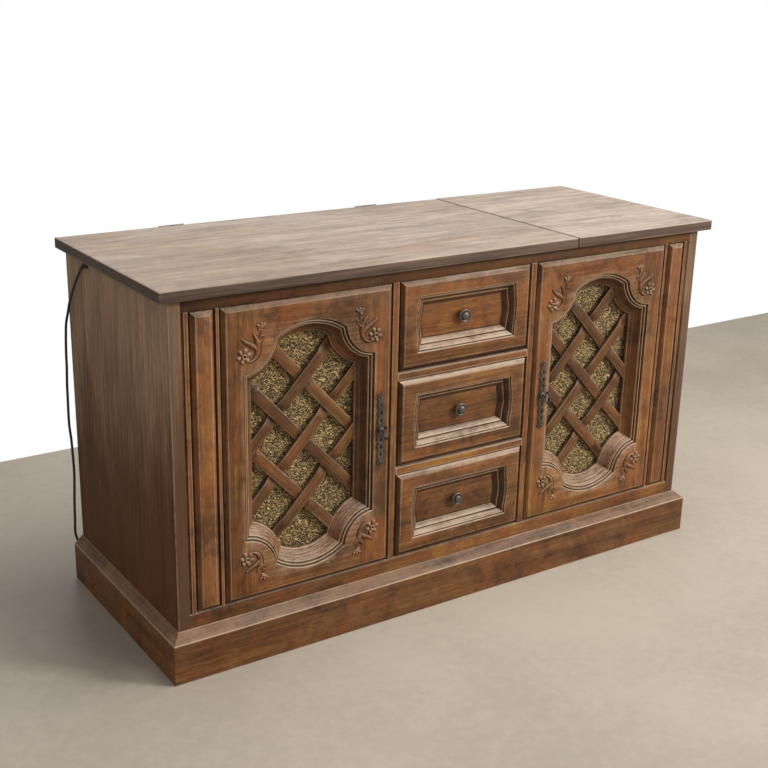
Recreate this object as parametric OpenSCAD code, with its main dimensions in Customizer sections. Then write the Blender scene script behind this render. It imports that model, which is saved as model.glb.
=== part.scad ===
// Gramophone cabinet: a low sideboard with a record changer and a tuner under a
// lifting lid, two grille doors in front of loudspeaker baffles and three drawers.
// Millimetres. X runs to the right, Y to the back, Z up from the floor. The origin
// is the middle of the base on the floor.

/* [Overall] */
// Height from the floor to the top of the boards
total_h = 700; // [680:1:760]
// Depth of the side panels
carcass_d = 452; // [448:1:500]
// Depth of the base, mouldings included
base_d = 474; // [470:1:482]

/* [Top boards] */
// Thickness of the fixed board on the right
top_t = 20; // [18:0.5:26]
// Thickness of the lid
lid_t = 19; // [17:0.5:19.5]
// Reach of the boards past the side panels
top_over_side = 20.5; // [16:0.5:30]
// Reach of the boards past the front of the side panels
top_over_front = 18; // [10:0.5:24]
// Place of the seam between the lid and the fixed board
seam_x = 250; // [240:1:300]
// Width of that seam
seam_gap = 2.6; // [1.5:0.1:4]
// Running gap under the closed lid
lid_rest_gap = 0.3; // [0.2:0.1:0.5]

/* [Carcass boards] */
// Thickness of the side panels
side_t = 21.5; // [18:0.5:23]
// Thickness of the bottom board and of the changer's deck
board_t = 18; // [12:0.5:22]
// Thickness of the upright partitions
partition_t = 16; // [12:0.5:18]
// Thickness of the hardboard back
back_t = 5; // [3:0.5:6]
// Depth of the rails along the back
rear_rail_d = 24; // [18:1:30]
// Height of the rail under the back edge of the top
rear_rail_h = 30; // [24:1:36]
// Side of the glue blocks in the base
block_w = 40; // [30:1:50]
// Height of those blocks
block_h = 70; // [50:1:80]
// Height of the wall at the well's right end
well_wall_h = 70; // [60:1:80]
// Radius of the screws that hold the back
screw_r = 2; // [1.5:0.1:2.5]
// Radius of their heads
screw_head_r = 4.2; // [3.5:0.1:5]
// Height of their heads
screw_head_h = 1.8; // [1.2:0.1:2.4]
// Width of the vent slots in the back
vent_w = 72; // [50:1:80]
// Height of a vent slot
vent_h = 6; // [4:0.5:8]
// Height from one vent slot to the next
vent_pitch = 14; // [12:0.5:16]

/* [Base moulding] */
// Height of the moulding where it meets the carcass
base_h = 91; // [80:1:96]
// Height of its upright face, below the bevel
base_face_h = 76; // [60:1:79]
// Thickness of the front moulding
base_front_t = 20; // [16:0.5:22]
// Thickness of the side mouldings
base_side_t = 18; // [14:0.5:22]

/* [Face frame] */
// Thickness of the rails and stiles
frame_t = 20; // [16:0.5:24]
// Height of the top rail
top_rail_h = 23; // [18:1:28]
// Height of the bottom rail above the base moulding
bottom_rail_h = 26; // [20:1:30]
// Reach of the bottom rail down behind the base moulding
bottom_rail_lap = 31; // [20:1:40]
// Height of the rails between the drawers
drawer_rail_h = 15; // [12:0.5:18]
// Width of the stiles beside the drawers
mid_stile_w = 13; // [10:0.5:16]
// Clear width between those stiles
centre_bay_w = 304; // [300:1:308]
// Clear width of each door's opening
door_bay_w = 342; // [340:1:346]
// Width of the raised strip beside each door
inner_strip_w = 6; // [4:0.5:8]
// Width of the raised strip beside each side panel
outer_strip_w = 8; // [5:0.5:10]
// Groove between the outer strip and the side panel
outer_strip_gap = 5.5; // [3:0.5:8]
// Depth of the sunk ground that the pilasters stand on
ground_depth = 8; // [5:0.5:10]

/* [Fronts] */
// How far doors, drawers and pilasters stand proud of the frame
face_proud = 5; // [3:0.5:7]
// Width of the bevel round the fronts
bevel_w = 8.5; // [5:0.5:9]
// Depth of that bevel
bevel_d = 7; // [4:0.5:8]
// Width of a pilaster
pilaster_w = 41; // [36:0.5:60]
// Gap at each side of a pilaster
pilaster_gap = 4; // [3:0.5:6]
// Width of the bevel along a pilaster
pilaster_bevel = 5.5; // [4:0.5:8]

/* [Doors] */
// Gap at each side of a door
door_gap = 3; // [2.5:0.5:4]
// Gap under a door
door_gap_low = 3; // [2.5:0.5:4]
// Gap over a door
door_gap_high = 2; // [2:0.5:3]
// Thickness of a door's board
door_t = 22; // [20:0.5:24]
// Depth of the moulded opening, from the face to the back of its frame
door_frame_d = 44; // [42:0.5:48]
// Width of a door's stiles beside the opening
door_stile_w = 36; // [34:0.5:42]
// Height of a door's rail over the crown of the opening
door_rail_top = 38.5; // [36:0.5:46]
// Height of a door's rail under the opening
door_rail_low = 30.5; // [28:0.5:38]
// Radius of the round lobes in the four corners
lobe_r = 60; // [54:1:64]
// How far a lobe's centre lies inside the line of the crown
lobe_drop = 19; // [16:1:22]
// How much smaller the arcs' radius is than half the opening's width
arch_inset = 10; // [2:0.5:14]
// Width of the moulding round the opening
mould_w = 29; // [26:1:32]
// Depth from the face to the lattice
lattice_depth = 32; // [30:0.5:33]
// Thickness of the lattice
lattice_t = 6; // [5:0.5:7]
// Thickness of the grille cloth on its board
cloth_t = 3; // [2:0.5:4]
// Height between one crossing of the lattice and the next
lattice_pitch_z = 113; // [100:1:124]
// Width between one crossing of the lattice and the next
lattice_pitch_x = 106; // [96:1:116]
// Width of a lattice slat
slat_w = 22; // [18:0.5:26]
// How far a door opens, used to place its pins
pin_inset = 8; // [7:0.5:9]
// Depth of the pins behind the face
pin_depth = 9; // [8:0.5:10]
// Radius of the pins that doors turn on
pin_r = 3; // [2.5:0.1:3.5]
// Length of a pin inside the door
pin_len = 12; // [10:0.5:16]

/* [Door pulls] */
// Height of a pull's backplate
plate_h = 140; // [120:1:150]
// Width of a pull's backplate
plate_w = 18; // [14:0.5:18]
// Thickness of a pull's backplate
plate_t = 2.5; // [2:0.5:3]
// Distance from the door's free edge to the key
key_inset = 23; // [20:0.5:24]
// Radius of the key's shaft
key_r = 3; // [2.5:0.1:3.5]
// Height of the key's bow
bow_h = 27; // [24:0.5:30]
// Reach of the key's bow
bow_d = 17; // [14:0.5:18]
// Thickness of the bow's wire
bow_t = 4; // [3:0.5:4.5]
// Length of the key's shaft in front of the plate
key_stem = 9; // [7:0.5:10]
// Length of the cam from the shaft's axis
cam_len = 31; // [30:0.5:32]
// Thickness of the cam
cam_t = 2.5; // [2:0.5:3]

/* [Drawers] */
// Gap at each side of a drawer front
drawer_gap = 4; // [3:0.5:5]
// Gap under a drawer front
drawer_gap_low = 5; // [3:0.5:5]
// Gap over a drawer front
drawer_gap_high = 2; // [2:0.5:3]
// Thickness of a drawer front
drawer_front_t = 28; // [26:0.5:29]
// Depth of the sunk panel in a drawer front
panel_sink = 19; // [17:0.5:20]
// Width left at each side of the sunk panel
panel_margin_x = 35; // [33:0.5:40]
// Height left over and under the sunk panel
panel_margin_z = 27.5; // [25:0.5:34]
// How far its ends swell outwards
panel_swell = 4; // [2:0.5:5]
// Width of the moulding round the sunk panel
panel_mould_w = 22; // [18:0.5:24]
// Space behind a drawer's box
box_back_gap = 39; // [36:1:80]
// Thickness of a box's sides
box_side_t = 12; // [9:0.5:15]
// Thickness of a box's bottom
box_bottom_t = 5; // [4:0.5:8]
// Height of that bottom above the sides' lower edge
box_bottom_up = 8; // [6:0.5:12]
// Space between a box and the partition beside it
box_side_gap = 12; // [10:0.5:14]
// How far the lower two boxes end below the top of their fronts
box_down = 20; // [16:1:40]
// Space between the top drawer's low box and the tuner's case
box_low_gap = 10; // [7:1:20]
// Height of a box above the bottom of its front
box_up = 10; // [8:0.5:16]
// Height of the runners
runner_h = 10; // [7:0.5:11]
// Width of the runners
runner_w = 22; // [18:0.5:28]
// Gap between a box and its runners
runner_gap = 0.3; // [0.2:0.1:0.5]

/* [Drawer knobs] */
// Radius of a drawer knob's head
knob_r = 13; // [11:0.5:15]
// Radius of its neck
knob_neck_r = 5; // [4:0.5:6]
// Radius of its foot
knob_foot_r = 8; // [7:0.5:10]
// How far it stands out of the sunk panel
knob_reach = 15; // [12:0.5:18]

/* [Lid hinges] */
// Radius of the hinge barrels
barrel_r = 3; // [2.5:0.1:3.2]
// Radius of the hinge pins
hinge_pin_r = 1.5; // [1.3:0.1:1.8]
// Width of a hinge
hinge_w = 52; // [44:1:60]
// Width of its middle knuckle
knuckle_w = 20; // [16:0.5:24]
// Thickness of the leaves
leaf_t = 1.4; // [1.2:0.1:1.4]
// Place of the left hinge
hinge_x_left = -382; // [-450:1:-300]
// Place of the right hinge
hinge_x_right = 68; // [0:1:150]

/* [Loudspeakers] */
// Thickness of the baffle boards
baffle_t = 15; // [12:0.5:18]
// Depth of the baffles behind the frame's front
baffle_y = 49; // [48:1:60]
// Drop of the woofers' centres below the doors' centre
woofer_drop = 87.5; // [80:0.5:120]
// Radius of the woofers' openings
woofer_r = 88; // [75:1:94]
// Rise of the tweeters' centres above the doors' centre
tweeter_rise = 82.5; // [60:0.5:88]
// Radius of the tweeters' openings
tweeter_r = 32; // [25:1:36]

/* [Record changer] */
// Depth of the changer's deck below the underside of the top
deck_depth = 108; // [102:1:114]
// Width of the changer's plate
changer_w = 340; // [330:1:350]
// Depth of the changer's plate
changer_d = 300; // [290:1:310]
// Height of the changer's plate
changer_h = 18; // [14:0.5:20]
// Height of the works under the plate
works_h = 50; // [40:1:56]
// Radius of the platter
platter_r = 133; // [125:1:134]
// Thickness of the platter
platter_t = 12; // [10:0.5:14]
// Thickness of its mat
mat_t = 3; // [2:0.5:4]
// Radius of the spindle
spindle_r = 3.6; // [3:0.1:4]
// Length of the spindle above the mat
spindle_up = 32; // [20:1:34]
// Radius of the tonearm's tube
arm_r = 4; // [3:0.5:5]
// Length of the tonearm from its pivot to its head
arm_len = 200; // [195:1:206]
// Radius of the foot of the tonearm's post
arm_foot_r = 16; // [13:0.5:18]
// Height of that foot
arm_foot_h = 8; // [5:0.5:12]
// Radius of the post
arm_post_r = 9; // [7:0.5:11]
// Height of the post, its foot included
arm_post_h = 22; // [18:0.5:24]
// Radius of the pin that the tonearm turns on
arm_pin_r = 3; // [2.5:0.1:4]
// Height of that pin over the post
arm_pin_up = 10; // [8:0.5:12]
// Radius of the tonearm's pivot housing
arm_hub_r = 11; // [9:0.5:14]
// Height of that housing
arm_hub_h = 18; // [16:0.5:20]
// Radius of the counterweight
weight_r = 11; // [9:0.5:13]
// Length of the counterweight
weight_len = 26; // [18:0.5:32]
// Distance from the pivot to the counterweight
weight_y = 20; // [16:0.5:26]
// Width of the tonearm's head
head_w = 18; // [14:0.5:20]
// Length of that head
head_len = 38; // [30:0.5:42]
// Height of that head
head_h = 10; // [8:0.5:12]
// Gap between turning pieces and what they stand on
turn_gap = 0.3; // [0.2:0.1:0.4]
// Radial clearance round turning shafts
shaft_clear = 0.06; // [0.03:0.01:0.1]

/* [Tuner] */
// Depth of the control panel's underside below the underside of the top
panel_depth = 32; // [30:0.5:34]
// Thickness of the control panel
panel_t = 4; // [3:0.5:5]
// Space between the tuner's case and the partition at each side
case_gap = 10; // [6:0.5:16]
// Depth of the tuner's case
case_d = 300; // [280:1:320]
// Height of the tuner's case
case_h = 73; // [60:1:76]
// Thickness of the case's sheet
case_t = 1.5; // [1:0.1:2]
// Width of the case beside each end of the dial window
dial_margin = 15; // [12:0.5:24]
// Height of the dial window, front to back
dial_d = 46; // [36:1:56]
// Radius of the small control knobs
control_r = 15; // [12:0.5:17]
// Radius of the tuning knob
tuning_r = 20; // [17:0.5:22]
// Height of the control knobs
control_h = 17; // [12:0.5:20]
// Radius of the control shafts
control_shaft_r = 3; // [2.5:0.1:3.5]
// Width of a push button
button_w = 16; // [12:0.5:20]
// Depth of a push button, front to back
button_d = 10; // [8:0.5:14]
// Height of a push button above the panel
button_up = 6; // [5:0.5:8]
// Travel of a push button
button_travel = 4; // [3:0.5:4.5]

/* [Mains cord] */
// Diameter of the cord
cord_d = 5; // [4:0.5:6]
// Place of the grommet that the cord leaves by, from the middle of the depth
grommet_y = 130; // [100:1:160]
// Width of that grommet
grommet_w = 16; // [12:0.5:18]
// Height of that grommet
grommet_h = 19; // [14:0.5:22]

/* [Hidden] */
$fn = 64;
// Overshoot of cuts past the faces that they open
over = 1;

// Finishes
oak = "#6b4429";
oak_light = "#7d5233";
oak_top = "#8b7662";
oak_dark = "#4b3325";
inside_wood = "#a98c66";
hardboard = "#7a5c3c";
iron = "#2a2724";
pewter = "#6d655c";
black_cone = "#1d1c1c";
silver_grey = "#b6b6b4";
cloth_gold = "#8d7a48";

// Carcass lines
x_mid = centre_bay_w / 2;
x_door_in = x_mid + mid_stile_w;
x_door_out = x_door_in + door_bay_w;
x_pilaster = x_door_out + inner_strip_w + pilaster_gap;
x_groove = x_pilaster + pilaster_w + pilaster_gap;
x_strip = x_groove + outer_strip_w;
x_in = x_strip + outer_strip_gap;
x_side = x_in + side_t;
y_front = base_front_t - base_d / 2;
y_back = y_front + carcass_d;
y_face = y_front - face_proud;
y_frame = y_front + frame_t;
y_panel = y_back - back_t - 1;
z_top = total_h - top_t;
z_floor = base_h + board_t;
z_rail_low = base_h + bottom_rail_h;
z_rail_high = z_top - top_rail_h;
x_part = x_mid - 2;
x_bay = x_part + partition_t;
y_baffle = y_front + baffle_y;
y_deck = y_baffle + baffle_t;
x_lid_end = seam_x - seam_gap / 2;
x_wall = seam_x - 9;
z_back = z_top - rear_rail_h - 4;
vent_x = 45;
vent_rows = 6;
vent_drop = 106;
screw_end = 55;

// Doors
door_w = door_bay_w - 2 * door_gap;
door_z0 = z_rail_low + door_gap_low;
door_z1 = z_rail_high - door_gap_high;
door_h = door_z1 - door_z0;
door_x = (x_door_in + x_door_out) / 2;
door_z = (door_z0 + door_z1) / 2;
opening_half_w = door_w / 2 - door_stile_w;
opening_top = door_h / 2 - door_rail_top;
opening_bottom = door_h / 2 - door_rail_low;
arch_r = opening_half_w - arch_inset;
y_door_back = y_face + door_t;
y_lattice = y_face + lattice_depth;
y_cloth = y_lattice + lattice_t;
y_door_deep = y_face + door_frame_d;
pin_x = door_x + door_w / 2 - pin_inset;
pin_y = y_face + pin_depth;
pin_plate = [20, 12];
seat_gap = 0.3;
frame_lap = 6;
rebate = 16;
key_x = x_door_in + door_gap + key_inset;
y_cam = y_frame + 1.5;
cam_w = 7;
cam_hub_r = 4.5;
y_plate = y_face - plate_t;
y_stem = y_plate - key_stem;

// Drawers
drawer_bay_h = (z_rail_high - z_rail_low - 2 * drawer_rail_h) / 3;
drawer_pitch = drawer_bay_h + drawer_rail_h;
front_w = centre_bay_w - 2 * drawer_gap;
front_h = drawer_bay_h - drawer_gap_low - drawer_gap_high;
y_front_back = y_face + drawer_front_t;
y_sunk = y_face + panel_sink;
panel_half_w = front_w / 2 - panel_margin_x;
panel_half_h = front_h / 2 - panel_margin_z;
box_half_w = x_part - box_side_gap;
y_box_back = y_panel - box_back_gap;
box_h = front_h - box_up - box_down;

// Changer, in the left bay
bay_x = -(x_in + x_bay) / 2;
deck_y = (y_deck + y_panel) / 2;
deck_z = z_top - deck_depth;
changer_z = deck_z + changer_h;
platter_x = bay_x - 20;
platter_y = deck_y - 4;
platter_z = changer_z + 3;
mat_z = platter_z + platter_t;
arm_x = bay_x + changer_w / 2 - 32;
arm_y = deck_y + changer_d / 2 - 50;
arm_pivot_z = changer_z + arm_post_h;
arm_z = arm_pivot_z + arm_hub_h / 2;
rest_y = arm_y - 150;
lever_x = bay_x + changer_w / 2 - 14;
lever_y = deck_y - changer_d / 2 + 45;
lever_pin_r = 2.5;
sheet = 2;
works_w = changer_w - 44;
works_d = changer_d - 54;
works_gap = 2;
woofer_z = door_z - woofer_drop;
tweeter_z = door_z + tweeter_rise;

// Tuner, in the middle bay
panel_z = z_top - panel_depth;
control_z = panel_z + panel_t;
case_w = 2 * (x_part - case_gap);
case_y0 = y_frame + 47;
case_y1 = case_y0 + case_d;
case_z0 = panel_z - case_h;
box_low_h = case_z0 - box_low_gap - drawer_z0(2) - box_up;
dial_w = case_w - 2 * dial_margin;
dial_y = case_y1 - 65;
row_y = case_y0 + 90;
tuning_x = case_w / 2 - 35;
volume_x = -tuning_x;
tone_x = volume_x + 53;
button_x = [-12, 16, 44];
shaft_down = 12;
boss_r = 7;
button_gap = 0.4;
button_down = 6;

// Lid hinges
hinge_y = y_back + 2.5;
hinge_z = total_h - barrel_r;
y_lid_back = hinge_y - barrel_r - 1;
z_lid0 = z_top + lid_rest_gap;
leaf_down = 30;
lid_leaf_down = 13;

// Mains cord: a route from the grommet to the coil, then from the coil to the plug
cord_r = cord_d / 2;
cord_hang = [
  [-597, 127, 672], [-599, 131, 669], [-601.5, 138, 662.5], [-603.5, 146, 653.5],
  [-605, 159, 638], [-606, 175, 619], [-606, 190, 600.5], [-605.5, 206, 581],
  [-604.5, 219, 562], [-604, 231, 543], [-603.5, 239, 529], [-603, 244, 513],
  [-603.5, 246, 493], [-604.5, 246, 469], [-605, 246, 441], [-606.5, 246, 409],
  [-607, 246, 376], [-607.5, 246, 328], [-605, 246, 293], [-604, 246, 259],
  [-603.5, 246, 225], [-605, 246, 191], [-607, 246, 157], [-608, 246, 122],
  [-609, 246, 105], [-608, 247, 91], [-604, 249, 77], [-597, 252, 60], [-588, 256, 42],
  [-577, 260, 26], [-564, 263, 12], [-550, 265.5, 4.6], [-535, 267, 2.6],
  [-518, 267.5, 2.6], [-502, 267.5, 2.6]];
cord_tail = [
  [-502, 267.5, 7.6], [-487, 267.5, 7.3], [-471, 267, 6.5], [-455, 266.5, 6.8], [-440, 266, 8]];
coil_x = -502;
coil_y = 302.5;
coil_turns_w = 3;
coil_layers = 2;
coil_mid_r = 30;
plug_len = 34;
plug_w = 26;
plug_t = 16;

// ---------------------------------------------------------------- small helpers

// A block between two corners
module block(lo, hi) translate(lo) cube(hi - lo);

// An outline drawn as (x, z), solid from y0 at the front to y1 at the back
module facing(y0, y1)
  translate([0, y1, 0]) rotate([90, 0, 0]) linear_extrude(y1 - y0) children();

// An outline drawn as (y, z), solid from x0 to x1
module along_x(x0, x1)
  translate([x0, 0, 0]) rotate([90, 0, 90]) linear_extrude(x1 - x0) children();

// A round bar along Y, from y0 to y1
module rod_y(x, z, r, y0, y1)
  translate([x, y1, z]) rotate([90, 0, 0]) cylinder(r = r, h = y1 - y0);

// The right-hand piece and its mirror image
module both_sides() {
  children();
  mirror([1, 0, 0]) children();
}

// A board that faces the front, with its four front edges bevelled
module bevelled_front(w, h, t, edge_x, edge_z, drop) {
  intersection() {
    translate([0, 0, -h / 2]) linear_extrude(h)
      polygon([[-w / 2, t], [w / 2, t], [w / 2, drop], [w / 2 - edge_x, 0],
        [edge_x - w / 2, 0], [-w / 2, drop]]);
    along_x(-w / 2, w / 2)
      polygon([[t, -h / 2], [t, h / 2], [drop, h / 2], [0, h / 2 - edge_z],
        [0, edge_z - h / 2], [drop, -h / 2]]);
  }
}

// Points along an arc
function arc(c, r, a0, a1, n) =
  [for (i = [0 : n]) let (a = a0 + (a1 - a0) * i / n) [c[0] + r * cos(a), c[1] + r * sin(a)]];

// ---------------------------------------------------------------- carcass

module side_panel() color(oak_dark)
  block([x_in, y_front, 0], [x_side, y_back, z_top]);

module side_left() color(oak_dark)
  difference() {
    mirror([1, 0, 0]) side_panel();
    block([-x_side - over, grommet_y - grommet_w / 2, z_top - grommet_h],
      [over - x_in, grommet_y + grommet_w / 2, z_top + over]);
  }

module side_right() side_panel();

// A bar along the front and two along the sides, mitred at the corners
module base_moulding() color(oak_light) {
  x_out = x_side + base_side_t;
  y_out = y_front - base_front_t;
  y_end = y_out + base_d;
  difference() {
    intersection() {
      along_x(-x_out, x_out) polygon([[y_out, 0], [y_end, 0], [y_end, base_h],
        [y_front, base_h], [y_out, base_face_h]]);
      facing(y_out, y_end) polygon([[-x_out, 0], [x_out, 0], [x_out, base_face_h],
        [x_side, base_h], [-x_side, base_h], [-x_out, base_face_h]]);
    }
    block([-x_side, y_front, -over], [x_side, y_end + over, base_h + over]);
  }
}

module corner_blocks() color(inside_wood)
  both_sides() {
    translate([x_in, y_frame, base_h - block_h]) linear_extrude(block_h)
      polygon([[0, 0], [0, block_w], [-block_w, 0]]);
    translate([x_in, y_panel - rear_rail_d, base_h - block_h]) linear_extrude(block_h)
      polygon([[0, 0], [-block_w, 0], [0, -block_w]]);
  }

module rear_rails() color(inside_wood) {
  block([-x_in, y_back - rear_rail_d, z_top - rear_rail_h], [x_in, y_back, z_top]);
  block([-x_in, y_panel - rear_rail_d, 10], [x_in, y_panel, base_h]);
}

module bottom_board() color(inside_wood)
  block([-x_in, y_frame, base_h], [x_in, y_panel, z_floor]);

// Notch in a partition's front edge for a key's cam
module cam_notch()
  block([x_bay - 10, y_frame - over, door_z - 8], [x_bay + over, y_cam + cam_t + 1.5, door_z + 20]);

module partitions() color(inside_wood) {
  both_sides() difference() {
    block([x_part, y_frame, z_floor], [x_bay, y_panel, panel_z]);
    cam_notch();
  }
  block([x_wall, y_frame, z_top - well_wall_h],
    [x_wall + partition_t, y_back - rear_rail_d, z_top]);
  block([x_wall - 10, y_frame + 5, panel_z - 10], [x_wall, y_back - rear_rail_d, panel_z]);
}

module back_panel() color(hardboard)
  difference() {
    block([0.3 - x_in, y_panel, 60], [x_in - 0.3, y_panel + back_t, z_back]);
    for (bay = [bay_x, 0, -bay_x], s = [-1, 1], i = [0 : vent_rows - 1])
      translate([bay + s * vent_x - vent_w / 2, y_panel - over, z_back - vent_drop - i * vent_pitch])
        cube([vent_w, back_t + 2 * over, vent_h]);
    for (p = screw_places)
      rod_y(p[0], p[1], screw_r + 0.1, y_panel - over, y_panel + back_t + over);
  }

// Places of the screws that hold the back, over the edges of boards
screw_places = concat(
  [for (s = [-1, 1], i = [0 : 3])
    [s * (x_part + partition_t / 2), z_floor + screw_end + (panel_z - z_floor - 2 * screw_end) * i / 3]],
  [for (i = [-2 : 2]) [i * (x_in - screw_end) / 2, base_h + board_t / 2]],
  [for (s = [-1, 1]) [bay_x + s * 110, deck_z - board_t / 2]]);

module back_screws() color(pewter)
  for (p = screw_places) {
    rod_y(p[0], p[1], screw_r, y_panel, y_panel + back_t + 0.5);
    rod_y(p[0], p[1], screw_head_r, y_panel + back_t, y_panel + back_t + screw_head_h);
  }

// ---------------------------------------------------------------- face frame

module outer_stile() {
  y_ground = y_front + ground_depth;
  translate([0, 0, z_rail_low]) linear_extrude(z_rail_high - z_rail_low)
    polygon([[x_door_out, y_frame + 4], [x_door_out, y_front], [x_door_out + inner_strip_w, y_front],
      [x_door_out + inner_strip_w, y_ground], [x_groove, y_ground], [x_groove, y_front],
      [x_strip, y_front], [x_strip, y_ground],
      [x_in, y_ground], [x_in, y_frame + 4]]);
}

module face_frame() color(oak) {
  block([-x_in, y_front, z_rail_high], [x_in, y_frame, z_top]);
  block([-x_in, y_front, base_h - bottom_rail_lap], [x_in, y_frame, z_rail_low]);
  both_sides() {
    block([x_mid, y_front, z_rail_low], [x_door_in, y_frame, z_rail_high]);
    outer_stile();
  }
  for (i = [1, 2])
    block([-x_mid, y_front, z_rail_low + i * drawer_pitch - drawer_rail_h],
      [x_mid, y_frame, z_rail_low + i * drawer_pitch]);
}

module pilasters() color(oak_light)
  both_sides() translate([x_pilaster + pilaster_w / 2, y_face, door_z])
    bevelled_front(pilaster_w, door_h, ground_depth + face_proud, pilaster_bevel, bevel_w, bevel_d);

// ---------------------------------------------------------------- top and lid

module top_right() color(oak_top)
  block([seam_x + seam_gap / 2, y_front - top_over_front, z_top],
    [x_side + top_over_side, y_back, total_h]);

module lid_panel() color(oak_top)
  block([-x_side - top_over_side, y_front - top_over_front, z_lid0],
    [x_lid_end, y_lid_back, z_top + lid_t + lid_rest_gap]);

module barrel(x, w, bore) translate([x - w / 2, hinge_y, hinge_z]) rotate([0, 90, 0])
  difference() {
    cylinder(r = barrel_r, h = w);
    if (bore > 0) translate([0, 0, -over]) cylinder(r = bore, h = w + 2 * over);
  }

module lid_hinge_leaves() color(iron)
  for (x = [hinge_x_left, hinge_x_right]) difference() {
    union() {
      barrel(x, knuckle_w, 0);
      block([x - knuckle_w / 2, y_lid_back, hinge_z - lid_leaf_down],
        [x + knuckle_w / 2, y_lid_back + leaf_t, total_h]);
      block([x - knuckle_w / 2, y_lid_back, total_h - leaf_t],
        [x + knuckle_w / 2, hinge_y, total_h]);
    }
    translate([x - knuckle_w, hinge_y, hinge_z]) rotate([0, 90, 0])
      cylinder(r = hinge_pin_r + shaft_clear, h = 2 * knuckle_w);
  }

module fixed_hinge_leaves() color(iron)
  for (x = [hinge_x_left, hinge_x_right]) {
    side_w = (hinge_w - knuckle_w) / 2 - turn_gap;
    for (s = [-1, 1]) {
      barrel(x + s * (hinge_w - side_w) / 2, side_w, 0);
      block([x + s * (hinge_w - side_w) / 2 - side_w / 2, y_back, z_top - leaf_down],
        [x + s * (hinge_w - side_w) / 2 + side_w / 2, y_back + leaf_t, hinge_z]);
    }
    block([x - hinge_w / 2, y_back, z_top - leaf_down],
      [x + hinge_w / 2, y_back + leaf_t, z_top - 3]);
    translate([x - hinge_w / 2, hinge_y, hinge_z]) rotate([0, 90, 0])
      cylinder(r = hinge_pin_r, h = hinge_w);
  }

// ---------------------------------------------------------------- doors

// Half of the opening's outline, right of the centre line, drawn inset by d.
// Angles are measured where the lobes meet the upright edges and the arcs.
function lobe_c(up) = up ? [opening_half_w + 1, opening_top - lobe_drop]
  : [opening_half_w + 1, lobe_drop - opening_bottom];
function arch_c(up) = up ? [0, opening_top - arch_r] : [0, arch_r - opening_bottom];
function cusp(up, d) = let (
    a = arch_c(up), l = lobe_c(up), ra = arch_r - d, rl = lobe_r + d,
    v = l - a, dist = norm(v), u = v / dist,
    along = (ra * ra - rl * rl + dist * dist) / (2 * dist),
    side = sqrt(max(0, ra * ra - along * along)),
    turn = up ? 1 : -1)
  a + u * along + [-u[1], u[0]] * side * turn;
function angle_at(p, c) = atan2(p[1] - c[1], p[0] - c[0]);
function corner(up, d) = let (
    l = lobe_c(up), r = lobe_r + d, k = cusp(up, d),
    x = opening_half_w - d,
    drop = sqrt(r * r - (l[0] - x) * (l[0] - x)),
    foot = [x, l[1] + (up ? -drop : drop)],
    a0 = angle_at(foot, l), a1 = angle_at(k, l),
    b0 = angle_at(k, arch_c(up)), b1 = up ? 90 : -90)
  concat(
    arc(l, r, a0 < 0 ? a0 + 360 : a0, a1 < 0 ? a1 + 360 : a1, 10),
    [for (i = [1 : 8]) let (a = b0 + (b1 - b0) * i / 8)
      arch_c(up) + (arch_r - d) * [cos(a), sin(a)]]);
function reversed(v) = [for (i = [len(v) - 1 : -1 : 0]) v[i]];
function right_half(d) = concat(reversed(corner(false, d)), corner(true, d));
function outline_points(d) = let (h = right_half(d), n = len(h))
  concat(h, [for (i = [n - 2 : -1 : 1]) [-h[i][0], h[i][1]]]);

module opening(d) translate([0, door_z]) polygon(outline_points(d));

// One slat of the lattice: k counts crossings on the centre line, lean is 1 or -1
module slat(k, lean) {
  a = atan2(lattice_pitch_z, lattice_pitch_x);
  translate([0, door_z + k * lattice_pitch_z]) rotate(lean * a)
    square([700, slat_w], center = true);
}

module lattice() {
  inner = rebate + seat_gap;
  y_weave = y_lattice + lattice_t / 2;
  for (layer = [[1, y_lattice, y_weave + 0.5], [-1, y_weave - 0.5, y_cloth]])
    intersection() {
      facing(layer[1], layer[2]) opening(inner);
      facing(y_lattice - over, y_cloth + over)
        for (k = [-4 : 4]) slat(k, layer[0]);
    }
}

module cloth() facing(y_cloth, y_cloth + cloth_t) opening(rebate + seat_gap);

// The right-hand door, drawn about its own centre line
module door() difference() {
  union() {
    translate([0, y_face, door_z]) bevelled_front(door_w, door_h, door_t, bevel_w, bevel_w, bevel_d);
    facing(y_door_back - over, y_door_deep) opening(-frame_lap);
  }
  facing(y_face - over, y_face + 6) opening(0);
  facing(y_face - over, y_face + 14) opening(mould_w / 3);
  facing(y_face - over, y_face + 23) opening(mould_w * 2 / 3);
  facing(y_face - over, y_lattice + over) opening(mould_w);
  facing(y_lattice, y_door_deep + over) opening(rebate);
  rod_y(key_x - door_x, door_z, key_r + shaft_clear, y_face - over, y_door_back + over);
  for (z = [door_z0 - over, door_z1 - pin_len - over])
    translate([pin_x - door_x, pin_y, z]) cylinder(r = pin_r + shaft_clear, h = pin_len + 2 * over);
}

module door_right() color(oak_light) translate([door_x, 0, 0]) door();
module door_left() mirror([1, 0, 0]) door_right();
module lattice_left() color(oak_light) translate([-door_x, 0, 0]) lattice();
module lattice_right() mirror([1, 0, 0]) lattice_left();
module cloth_right() color(cloth_gold) translate([door_x, 0, 0]) cloth();
module cloth_left() mirror([1, 0, 0]) cloth_right();

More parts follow.
